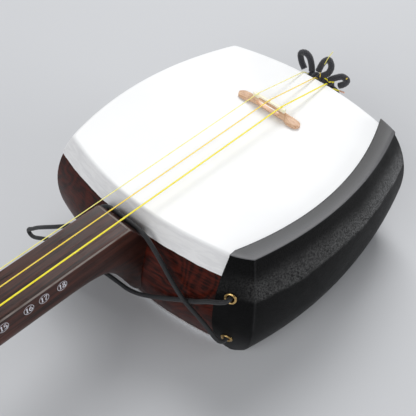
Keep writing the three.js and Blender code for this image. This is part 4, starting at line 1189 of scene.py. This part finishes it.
# Each figure is one or more pen strokes in a box 0 to 1 wide and 0 to 1.6 high: (across, up, half width).
figures = {
    "0": [[(0.5, 1.55, .09), (0.13, 1.2, .16), (0.08, 0.8, .19), (0.13, 0.4, .16), (0.5, 0.05, .09),
           (0.87, 0.4, .16),
           (0.92, 0.8, .19), (0.87, 1.2, .16), (0.5, 1.55, .09)]],
    "1": [[(0.2, 1.25, .06), (0.5, 1.5, .1), (0.55, 1.45, .15), (0.52, 0.8, .17), (0.5, 0.05, .15)],
          [(0.2, 0.05, .07), (0.5, 0.05, .08), (0.85, 0.05, .07)]],
    "4": [[(0.65, 1.55, .1), (0.35, 1.0, .1), (0.05, 0.5, .1), (0.5, 0.5, .09), (0.98, 0.5, .09)],
          [(0.68, 1.5, .13), (0.68, 0.8, .17), (0.68, 0.03, .15)]],
    "5": [[(0.9, 1.5, .12), (0.55, 1.5, .11), (0.25, 1.5, .09), (0.2, 1.2, .09), (0.15, 0.85, .09),
           (0.5, 0.98, .11),
           (0.88, 0.7, .17), (0.85, 0.3, .17), (0.5, 0.05, .1), (0.12, 0.15, .12)]],
    "6": [[(0.85, 1.5, .09), (0.45, 1.3, .11), (0.16, 0.85, .16), (0.14, 0.4, .17), (0.5, 0.05, .1),
           (0.86, 0.35, .16),
           (0.84, 0.7, .14), (0.5, 0.92, .09), (0.2, 0.7, .08)]],
    "7": [[(0.08, 1.3, .1), (0.14, 1.5, .12), (0.5, 1.48, .11), (0.92, 1.5, .1), (0.62, 0.9, .11),
           (0.46, 0.5, .15),
           (0.42, 0.03, .17)]],
    "8": [[(0.5, 0.83, .1), (0.17, 1.12, .12), (0.22, 1.42, .12), (0.5, 1.55, .09), (0.8, 1.4, .12),
           (0.8, 1.1, .12),
           (0.5, 0.83, .12), (0.12, 0.5, .15), (0.15, 0.2, .14), (0.5, 0.04, .09), (0.87, 0.22, .15),
           (0.88, 0.52, .14),
           (0.5, 0.83, .1)]],
    "9": [[(0.8, 0.9, .08), (0.5, 0.68, .09), (0.16, 0.9, .14), (0.14, 1.25, .16), (0.5, 1.55, .1),
           (0.86, 1.2, .17),
           (0.84, 0.75, .16), (0.55, 0.3, .11), (0.15, 0.1, .09)]]}


# A pen stroke as a thin bar: its left and right edges stand off the smoothed centre line by the pen's half
# width.
def strokeRings(stroke, scale, offset):
    path = smoothPath(stroke, 26)
    centre = path[:, :2] * scale + offset
    direction = np.gradient(centre, axis=0)
    direction /= np.linalg.norm(direction, axis=1)[:, None] + 1e-9
    normal = np.stack([-direction[:, 1], direction[:, 0]], 1) * path[:, 2:] * scale * stickers["pen"]
    edges = [centre - normal, centre + normal]
    layer = lambda e, z: np.concatenate([e, np.full((len(e), 1), z)], 1)
    thick = stickers["thick"]
    return np.stack([layer(edges[0], 0), layer(edges[1], 0), layer(edges[1], thick), layer(edges[0], thick)],
                    1)


# A sticker: a printed ring, and its number inside, laid on the neck's side.
def addSticker(number, x):
    radius, width, thick = stickers["radius"], stickers["ring"], stickers["thick"]
    profile = [(radius - width, 0), (radius, 0), (radius, thick), (radius - width, thick)]
    parts = [("ring", turnedRings(profile, 56).transpose(1, 0, 2), True)]
    digits = str(number)
    scale = 2.75 if len(digits) == 2 else 3.2
    for k, digit in enumerate(digits):
        left = (k - (len(digits) - 1) / 2) * 1.12 * scale * 0.86 - 0.5 * scale * 0.86
        parts += [(f"figure{k}{s}", strokeRings(np.array(stroke) * [0.86, 1, 1], scale,
                                                [left, -0.8 * scale]), False)
                  for s, stroke in enumerate(figures[digit])]
    pieces = []
    y = neckHalf(np.float64(x)) + 0.02
    for label, rings, loop in parts:
        placed = np.stack([x - rings[..., 0], y + rings[..., 2], stickers["height"] + rings[..., 1]], -1)
        build = ringLoop if loop else ringBody
        pieces.append(build(f"sticker_{number}_{label}", placed, finishes["ink"]))
    with bpy.context.temp_override(active_object=pieces[0], selected_editable_objects=pieces,
                                   object=pieces[0]):
        bpy.ops.object.join()
    pieces[0].name = f"sticker_{number}"
    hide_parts(f"position_sticker_{number}")


for number, x in stickers["places"].items():
    addSticker(number, x)
print("stickers ready")


head = dict(
    start=690.15, boardEnd=(728.5, 100.1), round=1.6, lowRound=11.6,
    top=[(728.5, 100.1), (730.6, 97.6), (733, 96.4), (742, 95), (780, 91), (818, 83.5), (845, 72), (867, 57),
         (882, 42)],
    low=[(690.15, 74.9), (715, 73.5), (745, 71), (780, 66.5), (818, 58.5), (840, 52), (858, 45), (875, 35.5)],
    half=[(690.15, 12.8), (701, 13.4), (710, 16.6), (719, 18.7), (728, 17.6), (737, 15.2), (748, 15),
          (800, 15.4),
          (820, 15.6), (835, 17.6), (850, 22.5), (864, 28), (875, 31), (884, 31.5)],
    slot=((738, -7.5, 30), (819, 7.5, 110)), pocket=((723.7, 6.1, 91.4), (727.3, 12.4, 105)),
    screw=(725.5, 9.25, 2.4), sharp=30)
pegs = dict(places=[(757, 81.8, 1, 3.6), (781, 78.6, -1, -0.4), (804, 74.2, 1, -2.6)], radius=4.7, hole=6.5,
            sides=72, coilTop=6.7, coilWide=5.2,
            shaft=[(4.1, -19.5), (4.7, -18.9), (4.7, 16.9)],
            handle=[(6.4, 17.8), (7.4, 18.4), (7.3, 19.8), (6.1, 22.5), (6.2, 26), (7.2, 44), (9.6, 74),
                    (11.5, 93), (11.5, 98.5),
                    (10.3, 101.6), (7, 103.5), (2.2, 104.0)],
            facets=6, depth=0.085,
            collar=[(5.0, 7.6), (6.2, 7.6), (6.2, 16.05), (8.0, 16.1), (8.3, 16.45), (8.2, 16.9),
                    (7.4, 17.25), (5.2, 17.2), (5.0, 16.8)])


# A rounded oblong section: `w` and `h` are half sizes per row, and the top and lower corners have their own
# radii.
def oblong(w, h, topRound, lowRound, columns=9):
    a = np.linspace(0, np.pi / 2, columns)
    corners = []
    for k, (sy, sz, r) in enumerate([(1, 1, topRound), (-1, 1, topRound), (-1, -1, lowRound),
                                     (1, -1, lowRound)]):
        turn = a + k * np.pi / 2
        corners.append((sy * (w - r)[:, None] + r[:, None] * np.cos(turn),
                        sz * (h - r)[:, None] + r[:, None] * np.sin(turn)))
    return np.concatenate([c[0] for c in corners], 1), np.concatenate([c[1] for c in corners], 1)


# A turned piece stood on a peg's own line: the profile's height becomes the distance out through the cheek.
def onPegLine(rings, x, z, side):
    return np.stack([x + rings[..., 0], side * rings[..., 2], z + rings[..., 1]], -1)


def cylinderCutter(name, start, end, radius):
    return ringBody(name, tubeRings(np.linspace(start, end, 4), radius, 40), None, body=None)


# The head runs between a top and a lower side line; each ring stands between the two lines' matching points.
def addHead():
    board = np.linspace((head["start"], neck["top"]), head["boardEnd"], 24)
    top = np.concatenate([board, smoothPath(head["top"], 130)[1:]])
    low = smoothPath(head["low"], 400)
    split = int(np.searchsorted(low[:, 0], 727.0))
    low = np.concatenate([evenly(low[:split + 1], 24), evenly(low[split:], 130)[1:]])
    middle, reach = (top + low) / 2, (top - low) / 2
    h = np.linalg.norm(reach, axis=1)
    up = reach / h[:, None]
    widths = smoothPath(head["half"], 300)
    w = np.interp(middle[:, 0], widths[:, 0], widths[:, 1])
    ease = np.clip((middle[:, 0] - head["start"]) / 30, 0, 1)
    lowRound = head["lowRound"] + (4.0 - head["lowRound"]) * ease ** 0.7
    y, v = oblong(w, h, np.full(len(w), head["round"]), np.minimum(lowRound, np.minimum(w, h) * 0.95))
    rings = np.stack([middle[:, :1] + up[:, :1] * v, y, middle[:, 1:] + up[:, 1:] * v], -1)
    piece = ringBody("head_carved", rings, finishes["neck"], sharp=head["sharp"])
    cutters = [blockBody("slotCutter", *head["slot"]), blockBody("pocketCutter", *head["pocket"])]
    cutters += [cylinderCutter(f"pegCutter{k}", (x, -30, z), (x, 30, z), pegs["hole"]) for k,
                (x, z, _, _) in enumerate(pegs["places"])]
    x, y, radius = head["screw"]
    cutters.append(cylinderCutter("screwCutter", (x, y, 55), (x, y, 92), radius))
    carve(piece, cutters, head["sharp"])
    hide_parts("head")


# A peg: a plain shaft, then a handle whose radius carries six shallow facets that deepen towards its end.
def addPeg(number, x, z, side, windingY):
    profile = np.concatenate([pegs["shaft"], softened(pegs["handle"], 2)])
    rings = turnedRings(profile, pegs["sides"])
    turn = np.linspace(0, 2 * np.pi, pegs["sides"], endpoint=False)
    depth = pegs["depth"] * np.clip((profile[:, 1] - 19) / 40, 0, 1)[:, None]
    facet = np.abs(np.cos(turn * pegs["facets"] / 2))[None]
    rings[..., :2] *= (1 - depth * facet)[..., None]
    piece = ringBody(f"tuning_peg_{number}", onPegLine(rings, x, z, side), finishes["ebony"], 40,
                     f"peg_{number}")
    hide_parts(f"peg_{number}")
    for cheek, label in ((1, "cover_side"), (-1, "free_side")):
        collar = ringLoop(f"collar_{number}_{label}",
                          onPegLine(turnedRings(softened(pegs["collar"], 1, True), 48), x, z, cheek),
                          finishes["brass"], 50)
        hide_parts(f"peg_bushing_{number}_{label}")
    radius = strings["radii"][number - 1]
    turns = pegs["coilWide"] / radius * 1.35
    s = np.linspace(0, 1, int(turns * 26))
    angle = np.pi / 2 + 2 * np.pi * turns * (1 - s)
    sweep = np.abs((s * 3 + 0.5) % 2 - 1) * 2 - 1
    coil = pegs["radius"] + gap + radius + (pegs["coilTop"] - pegs["radius"] - gap) * s
    path = np.stack([x + coil * np.cos(angle), windingY + sweep * (2.75 - radius), z + coil * np.sin(angle)],
                    1)
    wound = ringBody(f"wound_string_{number}", tubeRings(path, radius, 8), finishes[f"string{number}"], 60,
                     f"peg_{number}")
    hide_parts(f"string_winding_{number}")


# A bar across the neck: its section is rounded on top and a shallow notch is filed for each string.
def notchedBar(name, x, halfX, fromY, toY, low, top, notches, material, body, depth=0.16):
    y = np.linspace(fromY, toY, 90)
    ends = np.clip(np.minimum(y - fromY, toY - y) / 0.6, 0, 1)
    fall = 0.35 * (1 - np.sqrt(1 - (1 - ends) ** 2)) + depth * sum(np.exp(-((y - n) / 0.55) ** 2)
                                                                   for n in notches)
    high, width = top - fall, np.full(len(y), halfX) - 0.15 * (1 - ends)
    rx, rz = oblong(width, (high - low) / 2, np.full(len(y), min(0.32, halfX * 0.6)), np.full(len(y), 0.1), 5)
    rings = np.stack([x + rx, np.broadcast_to(y[:, None], rx.shape), (high + low)[:, None] / 2 + rz], -1)
    return ringBody(name, rings, material, 40, body)


# The nut on the board, and beside it the plate and the knurled screw that set the thick string's buzz.
def addNut():
    nutX = neck["nutX"]
    bar = notchedBar("nut_bar", nutX, 1.3, -12.2, 4.4, neck["top"] + 0.05, 101.42, (0, -9.6),
                     finishes["brass"], "instrument")
    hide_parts("nut")
    plate = notchedBar("sawari_bar", nutX, 1.35, 6.6, 11.9, 93.3, 101.42, (9.6,), finishes["brass"],
                       "sawari_plate", 0.1)
    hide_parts("sawari_plate")
    profile = [(1.4, 65.3), (4.2, 65.4), (4.8, 66.0), (4.8, 70.2), (4.3, 70.9), (2.0, 70.95), (2.0, 91.5),
               (1.5, 91.9)]
    rings = turnedRings(profile, 96)
    turn = np.linspace(0, 2 * np.pi, 96, endpoint=False)
    rings[2:4, :, :2] *= (1 - 0.035 * (np.cos(turn * 24) > 0))[None, :, None]
    screw = ringBody("sawari_knob", rings + [nutX, head["screw"][1], 0], finishes["brass"], 30,
                     "sawari_screw")
    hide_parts("sawari_screw")


strings = dict(radii=(0.55, 0.42, 0.32), nutX=727.1, nutZ=101.5, spacing=9.6, bridge=(-38.0, -0.7, 108.3),
               bridgeSpacing=11.2,
               sides=10, count=900)


# A string from its winding over the nut and the bridge and down past the skin's edge, its bends eased by
# averaging neighbours. It is cut at the bridge into a neck part and a tail part.
def addString(number):
    i = number - 1
    radius = strings["radii"][i]
    pegX, pegZ, _, windingY = pegs["places"][i]
    x, middleY, z = strings["bridge"]
    y = middleY + strings["bridgeSpacing"] * (1 - i)
    tailX = -float(endReach(-1, y, body["depth"], drum["out"]))
    corners = np.array([[pegX, windingY, pegZ + pegs["coilTop"] + radius],
                        [strings["nutX"], strings["spacing"] * (1 - i), strings["nutZ"] + radius],
                        [x, y, z], [tailX, y, body["depth"] + gap + radius], [tailX - 2.4, y * 0.9, 97.0],
                        [-102.6, y * 0.72, 93.4]])
    far = np.concatenate([[0], np.cumsum(np.linalg.norm(np.diff(corners, axis=0), axis=1))])
    path = evenly(corners, strings["count"])
    for _ in range(3):
        path[1:-1] = (path[:-2] + 2 * path[1:-1] + path[2:]) / 4
    rings = tubeRings(path, radius, strings["sides"])
    cut = int(round(far[2] / far[-1] * (strings["count"] - 1)))
    for label, part, start in (("neck_part", rings[:cut + 1], corners[1]),
                               ("tail_part", rings[cut:], corners[3])):
        piece = ringBody(f"played_string_{number}_{label}", part, finishes[f"string{number}"], 60, None)
        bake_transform(piece)
        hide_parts(f"string_{number}")


for number in (1, 2, 3):
    addPeg(number, *pegs["places"][number - 1])
    addString(number)
addHead()
addNut()
print("head, pegs and strings ready")


bridge = dict(x=-38.0, y=-0.7, low=98.7, half=29.0, width=4.2, height=6.2, waist=0.42,
              outline=[(0, 6.2), (14.6, 6.2), (16.4, 5.7), (19, 4.0), (23, 3.2), (26, 2.8), (29, 2.3)],
              window=(11.4, 1.2, 5.1))


# The bridge: a bamboo base whose plan is waisted in the middle and rounds off at its ends like a spoon, with
# a window through it, and a cream insert on top. The base's height falls away from its middle.
def addBridge():
    t = np.linspace(-1, 1, 141)
    y = bridge["half"] * np.sin(t * np.pi / 2)
    beyond = np.maximum(0, np.abs(y) - (bridge["half"] - bridge["width"]))
    plan = np.sqrt(np.maximum(bridge["width"] ** 2 - beyond ** 2, 0.05))
    waist = np.clip((np.abs(y) - 14.8) / 5.6, 0, 1)
    plan *= bridge["waist"] + (1 - bridge["waist"]) * waist ** 2 * (3 - 2 * waist)
    line = smoothPath(bridge["outline"], 120)
    high = np.interp(np.abs(y), line[:, 0], line[:, 1])
    share = np.clip((high - 2.0) / 4.2, 0, 1)
    a = np.linspace(-1, 1, 15)[None]
    top = plan[:, None] * (1 - 0.25 * share[:, None])
    dome = (1 - np.abs(a) ** 3.2) * np.minimum(0.9, high * 0.35)[:, None]
    upper = np.stack([top * a, np.broadcast_to(high[:, None] - np.minimum(0.9, high * 0.35)[:, None] + dome,
                                               (141, 15))], -1)
    side = np.stack([np.stack([plan, np.minimum(high * 0.45, 1.4)], -1),
                     np.stack([plan * 0.97, plan * 0 + 0.25], -1),
                     np.stack([plan * 0.9, plan * 0], -1)], 1)
    lower = np.stack([plan[:, None] * np.linspace(0.6, -0.6, 5)[None], np.zeros((141, 5))], -1)
    section = np.concatenate([upper, side, lower, side[:, ::-1] * [-1, 1]], 1)
    rings = np.stack([section[..., 0], np.broadcast_to(y[:, None], section.shape[:2]), section[..., 1]], -1)
    piece = ringBody("bridge_bamboo_base", rings + [bridge["x"], bridge["y"], bridge["low"]],
                     finishes["bamboo"], 40, "bridge")
    halfY, low, high = bridge["window"]
    a = np.linspace(0, 2 * np.pi, 49)[:-1]
    cosine, sine = np.cos(a), np.sin(a)
    across = np.sign(cosine) * np.abs(cosine) ** 0.35 * halfY
    up = (low + high) / 2 + (high - low) / 2 * np.sign(sine) * np.abs(sine) ** 0.7
    cutter = np.stack([np.stack([np.full(48, x), across, up], -1) for x in (-6.0, 6.0)])
    carve(piece, [ringBody("windowCutter", cutter + [bridge["x"], bridge["y"], bridge["low"]], None,
                           body=None)], 40)
    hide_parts("bridge_base")
    insert = notchedBar("bridge_insert", bridge["x"], 1.15, bridge["y"] - 15.2, bridge["y"] + 15.2, 104.75,
                        107.72,
                        [bridge["y"] + strings["bridgeSpacing"] * k for k in (-1, 0, 1)], finishes["bone"],
                        "bridge", 0.2)
    arch = blockBody("archCutter", (bridge["x"] - 4, bridge["y"] - 9.6, 100),
                     (bridge["x"] + 4, bridge["y"] + 9.6, 106.35))
    carve(insert, [arch], 40)
    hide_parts("bridge_top")


addBridge()
print("bridge ready")


tailCord = dict(
    radius=2.3, bowRadius=2.55, sides=28, strands=8, pitch=3.0, depth=0.14,
    sling=[[-104.6, 5.2, 87.2], [-107.6, 7.2, 83], [-110.4, 8.9, 78], [-111, 9.2, 72], [-111, 9.2, 61.4],
           [-111, 8.2, 58.4],
           [-111, 5.4, 57.3], [-111, -5.4, 57.3], [-111, -8.2, 58.4], [-111, -9.2, 61.4], [-111, -9.2, 72],
           [-110.4, -8.9, 78], [-107.6, -7.2, 83], [-104.6, -5.2, 87.2]],
    bows=[[[-102.6, -9, 97.2], [-104.2, -11.6, 101.6], [-105.6, -15.4, 106], [-106.4, -20.4, 107.2],
           [-106.6, -24.6, 104.4],
           [-105.6, -22.6, 99.2], [-104, -17.4, 94.6]],
          [[-102.4, 1.6, 98.4], [-103.8, 5.6, 102.6], [-105.2, 6.2, 108.4], [-106.4, 2.4, 111.6],
           [-106.8, -1.6, 108.6],
           [-106.2, -3.8, 103.2], [-104.6, -4.4, 98.6]],
          [[-102.8, 8.2, 97.6], [-104, 12.6, 101.4], [-105.4, 18, 104.4], [-106.2, 21.8, 102.4],
           [-106, 20, 98.2],
           [-104.8, 16.6, 95.4]]])
stringEnds = [dict(string=1, route=[(-100.6, 9.4, 97.4), (-102.0, 11.6, 98.3), (-103.4, 12.2, 97.4),
                                    (-103.6, 10.6, 96.0), (-102.2, 9.4, 95.4)]),
              dict(string=2, route=[(-100.8, 0.4, 97.2), (-102.2, -0.6, 98.9), (-103.0, -1.6, 99.4),
                                    (-103.6, -1.0, 97.6)]),
              dict(string=1, route=[(-100.9, 9.8, 97.3), (-101.4, 6.6, 97.9), (-102.0, 3.6, 97.6),
                                    (-103.2, 1.6, 96.4)]),
              dict(string=3, route=[(-104, 0.6, 108), (-103.6, 2.4, 113.6), (-103.2, 4.2, 118.2),
                                    (-103, 6.4, 123)]),
              dict(string=1, route=[(-102.4, 12.4, 91.4), (-103, 16, 92.0), (-103, 19, 92.7)]),
              dict(string=2, route=[(-104.6, 21.6, 104.6), (-104, 22.4, 105.6), (-103.4, 22.9, 106.8)])]


# A braided cord along a route; its relief is geometry, so it shows at the cord's edge as well.
def braided(name, path, radius, node):
    relief = braidRelief(path, tailCord["sides"], tailCord["strands"], tailCord["pitch"], tailCord["depth"])
    piece = ringBody(name, tubeRings(path, radius, tailCord["sides"], relief), finishes["braid"], 60)
    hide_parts(node)


# The knot: the cord wound five and a half times round the strings' ends, then its three bows and the sling
# below.
def addTailCord():
    s = np.linspace(0, 1, 420)
    turn = 2 * np.pi * 5.5 * s + 0.4
    swellOut = 1 + 0.22 * np.sin(np.pi * s)
    wound = np.stack([-102.6 + 2.35 * swellOut * np.cos(turn), -9.4 + 19.6 * s,
                      92.8 + 2.6 * swellOut * np.sin(turn)], 1)
    braided("tail_knot_wraps", wound, 1.95, "tail_cord_knot")
    braided("tail_sling_braid", smoothPath(tailCord["sling"], 360), tailCord["radius"], "tail_cord_sling")
    for k, route in enumerate(tailCord["bows"]):
        braided(f"tail_bow_{k + 1}", smoothPath(route, 240), tailCord["bowRadius"], f"tail_cord_bow_{k + 1}")
    for k, end in enumerate(stringEnds):
        radius = strings["radii"][end["string"] - 1]
        piece = ringBody(f"string_end_{k + 1}", tubeRings(smoothPath(end["route"], 60), radius, 10),
                         finishes[f"string{end['string']}"], 60)
    tip = ringBody("string_end_wrapped", tubeRings(smoothPath([(-103, 18.8, 92.65), (-103, 21, 93.0),
                                                               (-103, 23.4, 93.3)], 30), 0.62, 10),
                   finishes["silk"], 60)


addTailCord()
print("tail cord ready")
